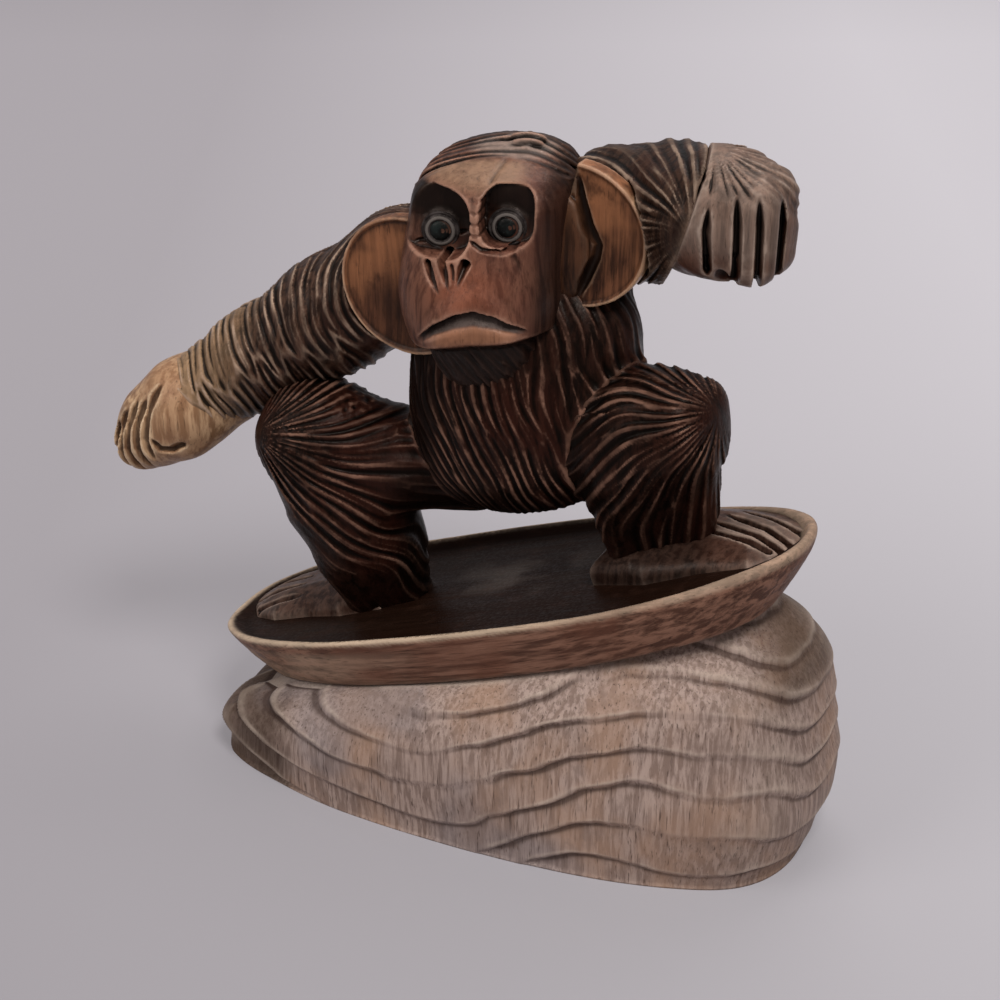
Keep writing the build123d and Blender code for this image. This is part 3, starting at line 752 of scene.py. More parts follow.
def headForm(p):
    q = (p - headFoot) @ headTurn.T
    x, z, front = q[:, 0], q[:, 2], -q[:, 1]
    d = stack(q, headRows, 2.6)
    for centre, radii, soft in face["swells"]:
        d = join(d, ball(q, centre, radii), soft)
    cap = stack(q - (0, 2.4, 0.6), headRows * (1, 1, 1, 1.015, 0.98), 2.6)
    d = join(d, np.maximum(cap, -capRise(q)), 0.4)
    d = join(d, ball(q, (7, 6.0, 69.8), (6, 6, 3.2)), 1.5)
    for middle, halves, floor in face["sockets"]:
        slant = floor + 0.30 * np.maximum(middle[1] - z, 0)
        reach = (socketReach(x, z, middle, halves) - 1) * min(halves)
        d = cut(d, np.maximum(reach, slant - front), 0.8)
    for centre in face["eyes"]:
        d = join(d, length(q - np.array(centre) - (0, 5.6, 0)) - 6.3, 1.5)
    share, lipFoot = lipShare(x, z)
    upper = -1.4 * ramp(share, -0.75, -0.02) * ramp(share, 0.03, -0.02)
    gap = 2.3 * ramp(share, -0.02, 0.03) * np.clip(1 - share / 0.42, 0, 1)
    lower = -1.3 * ramp(share, 0.22, 0.55) * ramp(share, 1.35, 0.75)
    inside = ramp(x, -19, -11) * ramp(x, 15.5, 9.5)
    under = 3.2 * ramp(lipFoot - z, -1.6, 1.2)
    return d + ((upper + gap + lower) * inside + under) * ramp(front, 2, 12)


def capStrands(q):
    # the combed strands of hair that lie over the brow
    x, z, front = q[:, 0], q[:, 2], -q[:, 1]
    across = 0.9 * (z + 0.014 * (x - 3)**2) - 0.8 * front + 1.6 * noise(q, 12, 55)
    return ramp(capRise(q), 0.1, 0.7) * ramp(front, -16, -10) * gouges(across, x, 3.3, 44, 56, 0.3)


def headCuts(p):
    q = (p - headFoot) @ headTurn.T
    x, z, front = q[:, 0], q[:, 2], -q[:, 1]
    facing = ramp(front, 4, 12)
    deep = 0.12 * noise(q, 3.5, 50)
    for path, width, depth in face["slots"]:
        deep = np.maximum(deep, groove(x, z, path, width, depth, 0.12, 0.8) * facing)
    for path in face["underEyes"]:
        deep = np.maximum(deep, groove(x, z, path, 1.6, 1.0, 0.15) * facing)
    for level in range(4):
        rise = 50.7 + 3.1 * level
        line = [(-3.6, rise + 0.6), (-1.2, rise), (1.2, rise + 0.7)]
        deep = np.maximum(deep, groove(x, z, line, 1.4, 0.3) * facing)
    deep = np.maximum(deep, groove(x, z, [(5.6, 70), (3.2, 67.4), (0.6, 63)], 2.0, 0.8) * ramp(front, -2, 6))
    beard = ramp(lipShare(x, z)[1] - z, 0.5, 3) * ramp(front, -14, -6)
    strands = fur(x * 0.9 + z * 0.5 + 1.2 * noise(q, 9, 51), z, 3.0, 52, 0.14, 24)
    deep = np.maximum(deep, 1.5 * beard * strands)
    deep = np.maximum(deep, 2.2 * capStrands(q))
    back = ramp(-front, 9, 14)
    spun = 26 * np.arctan2(x - 4, -front - 2) + noise(q, 16, 57)
    return np.maximum(deep, back * fur(spun, z, 3.8, 58))


def faceTones(p):
    q = (p - headFoot) @ headTurn.T
    x, z, front = q[:, 0], q[:, 2], -q[:, 1]
    facing = ramp(front, 2, 12)
    share, lipFoot = lipShare(x, z)
    inLip = ramp(share, 0.34, 0.42) * ramp(share, 1.0, 0.8) * ramp(x, -15, -10) * ramp(x, 14, 10)
    gap = ramp(share, -0.02, 0.04) * ramp(share, 0.42, 0.34) * ramp(x, -18, -12) * ramp(x, 15.5, 11)
    hair = ramp(capRise(q), 0.0, 0.5) * ramp(front, -14, -6)
    # darkened: the beard's dark stain, cap strand grooves with stain and painted shade, and painted shade on
    # the head's sides and its shaded right side
    stainAndShade = np.maximum.reduce([
        0.88 * ramp(lipFoot - z, 0.2, 1.0), 0.85 * ramp(capStrands(q), 0.15, 0.7),
        0.8 * ramp(front, 4, -6) * (1 - hair), 0.76 * ramp(x, 12, 19) * ramp(z, 74, 66)])
    # painted shade in each eye socket, deepest in its upper part as the brow's painted shadow
    for (cx, cz), halves, floor in face["sockets"]:
        lid = 0.45 + 0.5 * ramp(z - cz - 0.25 * (cx - x), -6.0, 1.5)
        rim = ramp(socketReach(x, z, (cx, cz), halves), 1.06, 0.94)
        stainAndShade = np.maximum(stainAndShade, lid * rim * facing * ramp(front, floor + 6, floor + 3))
    # painted highlights: the brow lightened over light tan wood, and the top of the hair cap
    brow = ramp(z, 60, 65) * ramp(z, 70.5, 68) * ramp(x, 14, 6) * ramp(front, 4, 9)
    return {"stainAndShade": np.clip(stainAndShade, 0, 1), "grey": 0.9 * gap * facing, "lip": inLip * facing,
            "light": 0.8 * brow, "crest": 0.6 * hair * ramp(z, 67.2, 69.0) * ramp(np.abs(x - 3), 20, 12),
            "red": 0.7 * np.exp(-((x + 3) / 9)**2 - ((z - 36) / 7)**2) * facing}


faceWood = woodFinish("faceWood", looks["face"])
points, faces = carve(headForm, headCuts, (-42, -44, 154), (26, 26, 234), 0.5)
addPiece("headCarving", points, faces, faceWood, "head", faceTones(points))


# Eyes: a turned ring round a dark pupil, seated in each socket

def lathe(name, profile, centre, axis, material, node, turns=48):
    # a closed turned piece: profile is (radius, height) from the back's middle to the front's
    rings = np.array(profile, float)
    axis = axis / math.sqrt((axis**2).sum())
    side = np.cross((0, 0, 1), axis)
    side /= math.sqrt((side**2).sum())
    angles = np.arange(turns) * 2 * math.pi / turns
    spokes = np.outer(np.cos(angles), side) + np.outer(np.sin(angles), np.cross(axis, side))
    points = np.vstack([[centre + axis * rings[0, 1]],
                        *[centre + spokes * radius + axis * height for radius, height in rings[1:-1]],
                        [centre + axis * rings[-1, 1]]])
    faces, last = [], len(points) - 1 - turns
    for k, after in zip(range(turns), np.roll(np.arange(turns), -1).tolist()):
        faces.append((0, 1 + after, 1 + k))
        faces += [(a + k, a + after, a + turns + after, a + turns + k) for a in range(1, last, turns)]
        faces.append((last + k, last + after, len(points) - 1))
    mesh = bpy.data.meshes.new(name)
    mesh.from_pydata(points * metre, [], faces)
    store(mesh, {"radius": np.concatenate([[0], np.repeat(rings[1:-1, 0], turns), [0]])})
    hang(name, mesh, material, node)


def inlayFinish(name, look):
    # worn paint over wood, chipped and scuffed
    dark, mid, worn = [srgb(*look[key]) for key in ("dark", "mid", "worn")]
    paint = Paint(name)
    scuff, cloud = paint.grain((1, 1, 1), 900, 4, 0.65), paint.grain((1, 1, 1), 260, 3, 0.6)
    colour = paint.mix(paint.limited(cloud, 0.4, 0.65), dark, mid)
    if "band" in look:
        radius, (low, high) = paint.value("radius"), look["bandPlace"]
        band = paint.limited(radius, low - 0.15, low + 0.15) * paint.limited(radius, high + 0.15, high - 0.15)
        colour = paint.mix(band * 0.85, colour, srgb(*look["band"]))
    colour = paint.mix(paint.limited(scuff, 0.58, 0.7) * 0.5, colour, worn)
    rough = paint.limited(scuff, 0.3, 0.7, *look["rough"])
    return paint.finish(colour, rough, scuff + cloud * 0.5, 0.4, 0.0003, 0.15)


eye = {  # radius and height of each ring, from the middle of the back to the middle of the front
    "ringProfile": [(0, -2), (5.2, -2), (5.6, -0.9), (5.6, -0.5), (5.35, -0.2), (5.05, -0.2), (4.9, -0.35),
                    (4.7, -0.3), (4.4, 0.1), (3.9, 0.3), (3.5, 0.3), (3.1, 0.1), (2.95, -0.2), (0, -0.2)],
    "pupilProfile": [(0, -1), (2.9, -1), (2.9, 0.0), (2.6, 0.4), (1.6, 0.65), (0, 0.75)],
    "ring": {"dark": (24, 20, 19), "mid": (56, 50, 48), "worn": (92, 84, 80), "rough": (0.5, 0.7),
             "band": (92, 85, 80), "bandPlace": (3.5, 4.3)},
    "pupil": {"dark": (10, 13, 13), "mid": (24, 30, 29), "worn": (42, 48, 46), "rough": (0.3, 0.5)},
    "gaze": (0.10, -1, 0.02),
}
ringPaint, pupilPaint = inlayFinish("eyeRing", eye["ring"]), inlayFinish("eyePupil", eye["pupil"])
for side, centre in zip(("right", "left"), face["eyes"]):
    middle, gaze = np.array(centre) @ headTurn + headFoot, np.array(eye["gaze"]) @ headTurn
    lathe(side + "EyeRing", eye["ringProfile"], middle, gaze, ringPaint, side + "_eye")
    lathe(side + "PupilDisc", eye["pupilProfile"], middle, gaze, pupilPaint, side + "_pupil")


# Ears

earFold = [(18.5, 224), (19.2, 216), (21.9, 207.5), (24.8, 202), (24.3, 198.3), (21.3, 190.7),
           (19.0, 184)]


def earForm(side):
    look = ears[side]
    wide, high = look["halves"]

    def form(p):
        x, y, z = (p - look["centre"]).T
        plan = oval(x, z, wide, high, 2)
        inset = look["dish"] * ramp(-plan, look["rim"] * 0.6, look["rim"] + 1.2)
        inset = inset + 1.5 * (1 - np.minimum(np.hypot(x / wide, z / high), 1)**2)
        slab = np.maximum(-(y + 3) + inset, y - 3)
        plate = -join(-plan, -slab, 1.0)
        if side == "right":
            return plate
        plate = np.maximum(plate, 13.0 + 0.27 * np.maximum(p[:, 2] - 205, 0) - p[:, 0])
        return join(plate, earLobe(p), 1.0)
    return form


def earLobe(p):
    # the wedge between the left ear's fold and the cheek
    return ball(p, (14.0, -8.0, 199.5), (8.6, 3.6, 16.5))


def rightEarCuts(p):
    return 0.14 * gouges(p[:, 0] + noise(p, 9, 62), p[:, 2], 2.2, 24, 63) + 0.12 * noise(p, 5, 64)


def leftEarCuts(p):
    return np.maximum(groove(p[:, 0], p[:, 2], earFold, 3.2, 2.6, 0.2) * ramp(-p[:, 1], 3, 6),
                      0.12 * gouges(p[:, 0] + noise(p, 9, 66), p[:, 2], 2.6, 24, 67))


def earTones(side, p):
    (x, y, z), (wide, high) = ears[side]["centre"], ears[side]["halves"]
    u, v = (p[:, 0] - x) / wide, (p[:, 2] - z) / high
    # lighter towards the top, darker towards the lower middle
    tan = ramp(v + 0.3 * np.abs(u) + 0.3 * noise(p, 8, 68), -0.5, 0.6)
    far = np.hypot(u, v)
    stainAndShade = 0.5 * ramp(far, 0.95, 0.4) * ramp(v, 0.3, -0.5)
    if side == "left":
        foldX = np.interp(p[:, 2], *np.array(earFold[::-1]).T[::-1])
        # painted shade in the wedge between the fold and the cheek
        stainAndShade = np.maximum(stainAndShade, 0.62 * ramp(foldX - p[:, 0], -0.6, 0.6))
    tan = tan * (0.35 + 0.65 * ramp(noise(p, 7, 70) + 0.5 * noise(p, 3, 71), -0.5, 0.4))
    return {"tan": 0.85 * tan, "stainAndShade": stainAndShade,
            # painted highlight along the rim, over a worn edge
            "rim": 0.7 * ramp(far, 0.955, 0.975) * ramp(noise(p, 4, 69) - 1.2 * v, -0.7, 0.4)}


earWood = woodFinish("earWood", looks["ear"])
for side, cuts, low, high in (("right", rightEarCuts, (-58, -22, 158), (-6, -10, 208)),
                              ("left", leftEarCuts, (-8, -12, 180), (43, 0, 229))):
    points, faces = carve(earForm(side), cuts, low, high, 0.5)
    addPiece(side + "EarPlate", points, faces, earWood, side + "_ear",
             earTones(side, points))


# Hands

rightHandLook = {
    "palm": [(-108, -6, 130, 14.5), (-121, -11, 121, 15.0), (-131, -13.5, 112.5, 13.0),
             (-138, -15, 105, 9.5)],
    "grooves": [[(-121.5, 134), (-125.9, 123.8), (-127.4, 113.6), (-126.0, 104.0)],
                [(-126.5, 129), (-130.5, 119), (-131.2, 108.9), (-129.4, 99.0)],
                [(-131.0, 127), (-134.5, 116.5), (-136, 107), (-133.8, 96.0)],
                [(-135.0, 123), (-139.1, 113.2), (-140.5, 104.4), (-138.4, 94.0)],
                [(-139.6, 117.5), (-143.4, 108.4), (-144.7, 101.1), (-142.5, 92.0)]],
}


def rightHandForm(p):
    d = limb(p, rightHandLook["palm"], 6)
    return join(d, ball(p, (-120, -15, 112), (9, 9, 8)), 3)


def rightHandCuts(p):
    deep = 0
    for path in rightHandLook["grooves"]:
        deep = np.maximum(deep, groove(p[:, 0], p[:, 2], path, 3.6, 2.0, 0.2))
    thumb = [(-113, 114.4), (-119, 110.7), (-122.4, 110.7), (-125, 115)]
    return np.maximum(deep, groove(p[:, 0], p[:, 2], thumb, 3.0, 1.8, 0.2) * ramp(-p[:, 1], 4, 10))


leftFist = {
    "palm": [(54, 0, 215.3, 18.5), (62.5, -5, 218.5, 18)],
    "slots": [[(46.4, 226), (46.0, 217), (47.4, 204)], [(53.4, 231), (54.0, 220), (54.6, 200)],
              [(59.0, 231), (59.8, 220), (60.2, 200)], [(65.6, 230), (66.4, 220), (66.0, 200)]],
}


def leftHandForm(p):
    d = limb(p, leftFist["palm"], 5)
    d = join(d, block(p, (67.6, -8.5, 217.2), (14.0, 12.0, 15.5), 7, turned(-6)), 4)
    d = cut(d, ball(p, (67.2, -19.0, 203.5), (2.6, 6, 4.0)), 0.8)
    return np.maximum(d, -beyondWrist(p))


def leftHandCuts(p):
    deep = 0.15 * noise(p, 6, 70)
    facing = ramp(p @ viewNear, 40, 44)
    a, b = (p @ frontPlane.T - (48, 191)).T
    for path in leftFist["slots"]:
        deep = np.maximum(deep, groove(a + 48, p[:, 2], path, 2.6, 3.4, 0.35, 0.12) * facing)
    spin, far = np.degrees(np.arctan2(b, a)), np.hypot(a, b)
    top = ramp(p[:, 2] + 0.6 * p[:, 1], 213, 219) * ramp(far, 2, 10)
    return np.maximum(deep, 1.0 * top * fur(spin + 4 * noise(p, 12, 71), far, 8, 72, 0.1, 30))


def fistTones(p):
    low = ramp(p[:, 2], 214, 203) * ramp(-p[:, 1], 4, 12)
    # painted highlights on the knuckles and the top of the fist
    knuckleHighlight = ramp(-p[:, 1], 10, 16) * ramp(p[:, 2], 206, 214)
    return {"red": 0.9 * low, "pale": 0.35 * np.maximum(knuckleHighlight, ramp(p[:, 2], 222, 230))}


paleWood = woodFinish("paleWood", looks["pale"])
handWood = woodFinish("handWood", looks["hand"])
points, faces = carve(rightHandForm, rightHandCuts, (-152, -30, 90), (-92, 12, 148), 0.55)
addPiece("rightHandCarving", points, faces, paleWood, "right_hand")
points, faces = carve(leftHandForm, leftHandCuts, (36, -28, 192), (92, 22, 238), 0.55)
addPiece("leftHandCarving", points, faces, handWood, "left_hand", fistTones(points))


# Surfboard

board = {"long": 111.0, "wide": 40.0, "thick": 19.0, "drawIn": 13.0, "rim": 1.3, "dish": 3.2,
         "blunt": 2.3}


def boardForm(p):
    q = onBoard(p)
    x, y, z = q.T
    level = np.clip(z / board["thick"], 0, 1)
    wide = board["wide"] - 5 * (1 - level)**1.5
    long = board["long"] - board["drawIn"] * (1 - level)**1.3
    long = long + 1.2 * ramp(x, 0, 60) - 1.8 * ramp(x, -40, -100)
    long = long - 5 * ramp(x, 0, 80) * (1 - level)**1.3
    plan = oval(x, y, long, wide, board["blunt"])
    z = z - (1.8 * ramp(x, 50, 108) + 1.5 * ramp(x, -30, -90) * ramp(y, 0, 25)) * level
    inset = board["dish"] * ramp(-plan, board["rim"], board["rim"] + 4.5)
    slab = np.maximum(z - board["thick"] + inset, -z)
    return -join(-plan, -slab, 1.6)


def boardCuts(p):
    q = onBoard(p)
    side = ramp(q[:, 2], 15, 12)
    strokes = gouges(q[:, 2] + 1.5 * noise(q * (0.3, 1, 1), 9, 81), q[:, 0], 4.2, 70, 82)
    return 0.22 * strokes * side + 0.18 * noise(q * (0.3, 1, 1), 7, 83)


def boardTones(p):
    q = onBoard(p)
    far = (np.abs(q[:, :2]) / (board["long"], board["wide"]))**board["blunt"]
    far = far[:, 0] + far[:, 1]
    deck = ramp(q[:, 2], 13, 15) * ramp(far, 0.97, 0.90)
    flecks = noise(q, 9, 84) + 0.6 * noise(q * (0.4, 1, 1), 3, 87)
    patch = np.exp(-((q[:, 0] - 4) / 26)**2 - ((q[:, 1] - 8) / 13)**2) * ramp(flecks, -0.5, 0.6)
    # painted highlight along the top of the rim, brighter to the left
    rim = ramp(q[:, 2], 17.2, 18.4) * ramp(far, 0.90, 0.93) * (0.4 + 0.6 * ramp(q[:, 0], 70, 10))
    streaks = noise(q * (0.3, 1, 1.5), 9, 85)
    pale = 0.4 * ramp(q[:, 2], 16, 13) * ramp(q[:, 0], 20, -80) * ramp(streaks, -0.9, 0.3)
    return {"deck": deck, "grey": 0.75 * deck * patch, "creamAndRimHighlight": np.maximum(rim, pale)}


boardWood = woodFinish("boardWood", looks["board"])
points, faces = carve(boardForm, boardCuts, (-116, -46, 24), (97, 40, 124), 0.85)
addPiece("surfboardCarving", points, faces, boardWood, "surfboard",
         boardTones(points))


# Feet

feet = {  # outline, heel, tips and toe slots, seen from above the deck
    "left": {"edge": [(40, -8), (60, -12), (78, -9.5), (95, -11), (101, -7), (104.5, -2), (108.5, 8),
                      (104, 17), (98, 22), (84, 28), (70, 31), (52, 24), (40, 12)],
             "slots": [[(72, 7.6), (101, -5)], [(74, 13), (105.5, -4.5)], [(77, 17.6), (108.5, -2)],
                       [(80, 22.2), (109, 5)]],
             "heel": 56, "tip": 108, "high": (11.5, 5.0)},
    "right": {"edge": [(-42, -9), (-58, -11), (-72, -9), (-88, -9), (-99, -4.5), (-104.5, 2),
                       (-105.5, 9), (-101, 16), (-92, 23), (-74, 25), (-56, 20), (-42, 12)],
              "slots": [[(-76, -3), (-100, -3.5)], [(-77, 3), (-105, 2.5)], [(-78, 9), (-107, 9)],
                        [(-79, 15), (-104, 15.5)]],
              "heel": -54, "tip": -106, "high": (11.0, 5.0)},
}


def outline(u, v, corners):
    # distance from a closed line of corners, negative inside
    corners = np.array(corners, float)
    best, inside = np.full(u.shape, 1e9), np.zeros(u.shape, bool)
    for (ax, ay), (bx, by) in zip(corners, np.roll(corners, -1, 0)):
        t = np.clip(((u - ax) * (bx - ax) + (v - ay) * (by - ay)) / ((bx - ax)**2 + (by - ay)**2), 0, 1)
        best = np.minimum(best, np.hypot(u - ax - t * (bx - ax), v - ay - t * (by - ay)))
        if ay != by:
            inside ^= ((ay > v) != (by > v)) & (u < (bx - ax) * (v - ay) / (by - ay) + ax)
    return np.where(inside, -best, best)


def footForm(side):
    look = feet[side]

    def form(p):
        x, y, z = onBoard(p).T
        z = z - board["thick"] + board["dish"]
        share = np.clip((x - look["heel"]) / (look["tip"] - look["heel"]), 0, 1)
        plan = outline(x, y, look["edge"]) + 1.5
        high = look["high"][0] + (look["high"][1] - look["high"][0]) * share**0.7
        high = high - 0.35 * np.maximum(plan + 9, 0)**1.2 * (1 - 0.5 * share)
        return -join(-np.maximum(plan - 1.5, -1.2 - z), high - z, 2.5)
    return form


def footCuts(side):
    def cuts(p):
        x, y, z = onBoard(p).T
        deep = 0.15 * noise(p, 5, 86)
        for path in feet[side]["slots"]:
            deep = np.maximum(deep, groove(x, y, path, 2.6, 2.6, 0.3, 0.05) * ramp(z, 15.6, 17.5))
        return deep
    return cuts


def footTones(side, p):
    x, y, _ = onBoard(p).T
    # the left foot is darker at its heel, on the near side
    return {"stainAndShade": 0.6 * ramp(x, 86, 74) * ramp(y, 8, 0) * (side == "left")}


footWood = woodFinish("footWood", looks["foot"])
for side, low, high in (("left", (24, -18, 84), (104, 32, 132)), ("right", (-112, -18, 28), (-30, 26, 88))):
    points, faces = carve(footForm(side), footCuts(side), low, high, 0.5)
    addPiece(side + "FootCarving", points, faces, footWood, side + "_foot",
             footTones(side, points))


# Wave: a drawn-in block whose ripples are cut by geometry nodes

wave = {
    "long": 101.0, "wide": 47.0, "high": 63.8, "crest": 108.0, "tailHigh": 11.5, "tailLean": 38.0,
    "shoulder": 11.0, "insets": ((0, 3.4), (0.3, -0.8), (0.62, 1.2), (0.8, 12.0), (1.0, 32.5)),
    "topMiddle": (5.0, 0.0), "topRings": (0.93, 0.8, 0.6, 0.4, 0.2),
    "ripples": {"Ripple Depth": 1.5 * metre, "Undercut": 0.22, "Waver": 0.55, "Seed": 4.0},
}
waveFoot = np.array([
    (-1.06, -0.48), (-0.96, -0.79), (-0.60, -0.98), (-0.15, -1.00), (0.30, -0.90), (0.70, -0.68),
    (0.91, -0.40), (0.99, 0.08), (0.93, 0.62), (0.60, 0.95), (0.10, 1.00), (-0.50, 1.00),
    (-0.90, 0.82), (-1.05, 0.34)])
crestLines = [  # place round the block by direction in degrees, and the height of each ripple's crest
    (-176, 10, 24, 36, 48, 60, 72, 84), (-148, 0, 13.5, 26.7, 36, 44, 55, 66),
    (-128, -8, 4, 16.5, 30, 41, 52, 63), (-112, -15, -2, 11, 26, 39, 51, 63),
    (-100, -16, -3, 10.9, 25.6, 37.5, 51.8, 64), (-89, -12, 0, 14.5, 33, 46, 56, 68),
    (-74, 5.5, 18, 30.5, 45, 58, 68, 79), (-66, 10.8, 25.7, 38.8, 52, 64, 75, 86),
    (-55, 10.5, 27.3, 45.2, 57, 68, 79, 90), (-44, 7.5, 25, 41.8, 57, 69, 80, 91),
    (-28, 8.5, 25, 41.7, 56, 67, 77, 87), (-6, 8, 22, 36, 47.5, 58.5, 69.5, 80),
    (30, 8, 21, 35, 47, 58, 69, 80), (60, 13, 26, 38, 51, 63, 75, 87),
    (85, 5, 18, 32, 46, 58, 69, 80), (110, 1, 13, 26, 40, 53, 65, 77), (140, 8, 21, 33, 45, 56, 67, 78)]


def waveRing(count):
    # the foot's outline as shares of the block's half sizes, with its points evenly spaced
    shifted = [np.roll(waveFoot, turn, 0) for turn in (1, 0, -1, -2)]
    made = [bend(*corners, u) for corners in zip(*shifted) for u in np.arange(24) / 24]
    closed = np.vstack([made, made[:1]])
    steps = length(np.diff(closed * (wave["long"], wave["wide"]), axis=0))
    gone = np.append(0, np.cumsum(steps))
    spots = np.linspace(0, gone[-1], count, endpoint=False)
    return np.stack([np.interp(spots, gone, closed[:, k]) for k in range(2)], 1)


def waveTop(x):
    return np.minimum(wave["high"] + x * math.tan(tilt),
                      wave["tailHigh"] + (x + wave["long"]) * math.tan(math.radians(90 - wave["tailLean"])))


def waveBlock(columns, levels):
    # the plain block as rings from the flat bottom over a round shoulder, closed at both ends
    ring, middle = waveRing(columns), wave["topMiddle"]
    insets = smoothRows([(share * wave["crest"], inset) for share, inset in wave["insets"]], 60)
    left, right = ramp(ring[:, 0], 0.3, -0.7), ramp(ring[:, 0], 0.45, 0.95)

    def ringAt(height, share):
        part = np.clip((share - 0.70 + 0.25 * left) / (0.30 + 0.25 * left), 0, 1)
        shoulder = wave["shoulder"] * (0.7 + 0.9 * left) * (1 - np.sqrt(1 - 0.97 * part**2))
        bulge = 2.8 * np.exp(-((height - 27) / 17)**2) - 1.2 * np.exp(-(height / 6)**2)
        inset = np.interp(height, insets[:, 0], insets[:, 1]) + shoulder - right * bulge
        return ring * np.stack([wave["long"] - inset, wave["wide"] - inset], 1)

    top = np.full(columns, 50.0)
    for _ in range(40):
        top = 0.6 * top + 0.4 * waveTop(ringAt(top, 1.0)[:, 0])
    points = [np.column_stack([ringAt(top * share, share), top * share])
              for share in 1 - (1 - np.linspace(0, 1, levels))**1.15]
    for share in wave["topRings"]:  # the top closes inward along the board's underside
        flat = middle + (points[levels - 1][:, :2] - middle) * share
        points.append(np.column_stack([flat, waveTop(flat[:, 0])]))
    column = np.arange(columns)
    after = (column + 1) % columns
    faces = [np.stack([a + column, a + after, a + columns + after, a + columns + column], 1)
             for a in np.arange(len(points) - 1) * columns]
    last = (len(points) - 1) * columns
    points, faces = np.vstack(points), np.vstack(faces).tolist()
    faces += [(last + k, last + (k + 1) % columns, len(points)) for k in range(columns)]
    faces += [((k + 1) % columns, k, len(points) + 1) for k in range(columns)]
    return np.vstack([points, (*middle, waveTop(middle[0])), (0, 0, 0)]), faces, columns * levels


def crestPhase(points):
    # which ripple a point lies on, counted from the bottom, as a number that grows with height
    turn = np.degrees(np.arctan2(points[:, 1] / wave["wide"], points[:, 0] / wave["long"]))
    table = np.array(crestLines, float)
    fullTurn = np.array([360] + [0] * 7)
    smooth = smoothRows(np.vstack([table[-1] - fullTurn, table, table[0] + fullTurn]), 300)
    heights = np.stack([np.interp(turn, smooth[:, 0], smooth[:, k]) for k in range(1, 8)], 1)
    heights = np.column_stack([heights[:, 0] - 13, heights, heights[:, -1] + 12])
    phase = np.zeros(len(points))
    for k in range(8):
        low, high = heights[:, k], heights[:, k + 1]
        part = (points[:, 2] - low) / np.maximum(high - low, 1)
        phase = np.where((part >= 0) & (part < 1), k + part, phase)
    return phase


def rippleTree():
    # geometry nodes that cut ledges along the stored crest lines
    tree = bpy.data.node_groups.new("rippleCutter", "GeometryNodeTree")
    net, face = Net(tree), tree.interface
    face.new_socket("Block", in_out="INPUT", socket_type="NodeSocketGeometry")
    for key, value in wave["ripples"].items():
        face.new_socket(key, in_out="INPUT", socket_type="NodeSocketFloat").default_value = value
    face.new_socket("Wood", in_out="INPUT", socket_type="NodeSocketMaterial")
    face.new_socket("Block", in_out="OUTPUT", socket_type="NodeSocketGeometry")
    given = tree.nodes.new("NodeGroupInput")
    block, depth, undercut, waver, seed, wood = [Wire(net, given.outputs[key]) for key in (
        "Block", *wave["ripples"], "Wood")]
    crest, side = [net.node("GeometryNodeInputNamedAttribute", {"data_type": "FLOAT"}, {"Name": key})
                   for key in ("crest", "side")]
    place = net.node("GeometryNodeInputPosition")

    def drift(shift, size, detail):
        return net.node("ShaderNodeTexNoise", {"noise_dimensions": "4D"},
                        {"Vector": place, "W": seed + shift, "Scale": size, "Detail": detail})

    part = net.node("ShaderNodeMath", {"operation": "FRACT"},
                    {0: crest + (drift(0.0, 45.0, 2.0) - 0.5) * waver})
    # the cut leans in above each crest, up to the next one's underside
    scoop = part**0.8 * net.limited(part, 1.0 - undercut, 1.0, 1.0, 0.0)
    strength = net.limited(drift(9.0, 22.0, 1.0), 0.36, 0.62, 0.35, 1.35, "LINEAR")
    inward = scoop * depth * strength * side * -1.0
    offset = net.node("ShaderNodeVectorMath", {"operation": "SCALE"},
                      {0: net.node("GeometryNodeInputNormal"), "Scale": inward})
    moved = net.node("GeometryNodeSetPosition", {}, {"Geometry": block, "Offset": offset})
    real = net.node("GeometryNodeRealizeInstances", {}, {0: moved})
    dressed = net.node("GeometryNodeSetMaterial", {}, {"Geometry": real, "Material": wood})
    net.node("NodeGroupOutput", {}, {0: dressed})
    return tree


def rippledMesh(points, faces, flows, wood):
    # the block with its ripples cut, as a plain mesh
    mesh = bpy.data.meshes.new("waveBlock")
    mesh.from_pydata(points * metre, [], faces)
    store(mesh, flows)
    blank = bpy.data.objects.new("waveBlank", mesh)
    bpy.context.scene.collection.objects.link(blank)
    modifier = blank.modifiers.new("ripples", "NODES")
    modifier.node_group = rippleTree()
    sockets = modifier.node_group.interface.items_tree
    modifier[next(item for item in sockets if item.name == "Wood").identifier] = wood
    graph = bpy.context.evaluated_depsgraph_get()
    made = bpy.data.meshes.new_from_object(blank.evaluated_get(graph))
    made.name = "waveCarving"
    bpy.data.objects.remove(blank)
    return made


waveWood = woodFinish("waveWood", looks["wave"])
points, faces, sideCount = waveBlock(*(((460, 185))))
side = np.where(np.arange(len(points)) < sideCount, ramp(points[:, 2], -0.5, 1.5), 0)
side = side * (1 + 0.9 * ramp(points @ frontPlane[0], -72, -88))  # deeper at the low end
waveMesh = rippledMesh(points, faces, {"crest": crestPhase(points), "side": side}, waveWood)
points = np.array([vertex.co for vertex in waveMesh.vertices]) / metre
quads = np.array([tuple(face.vertices) for face in waveMesh.polygons if len(face.vertices) == 4])
clear = ramp(points[:, 2], 1.5, 6)
front = points @ frontPlane[0]
flows = proudAndSunk(points, quads, (20, 60), (len(points) - 2, len(points) - 1))
store(waveMesh, {key: flow * clear for key, flow in flows.items()} | {
    "olive": 0.75 * np.maximum(ramp(front, -74, -88), ramp(front, 62, 82) * ramp(points[:, 2], 62, 74)),
    "lilac": 0.6 * ramp(noise(points, 26, 91), 0.0, 0.6) * ramp(front, 40, 0),
    # darker towards both ends of the block
    "stainAndShade": 0.16 * ramp(front, 40, 78) + 0.3 * ramp(front, -76, -92)})
hang("waveCarving", waveMesh, waveWood, "wave_base")


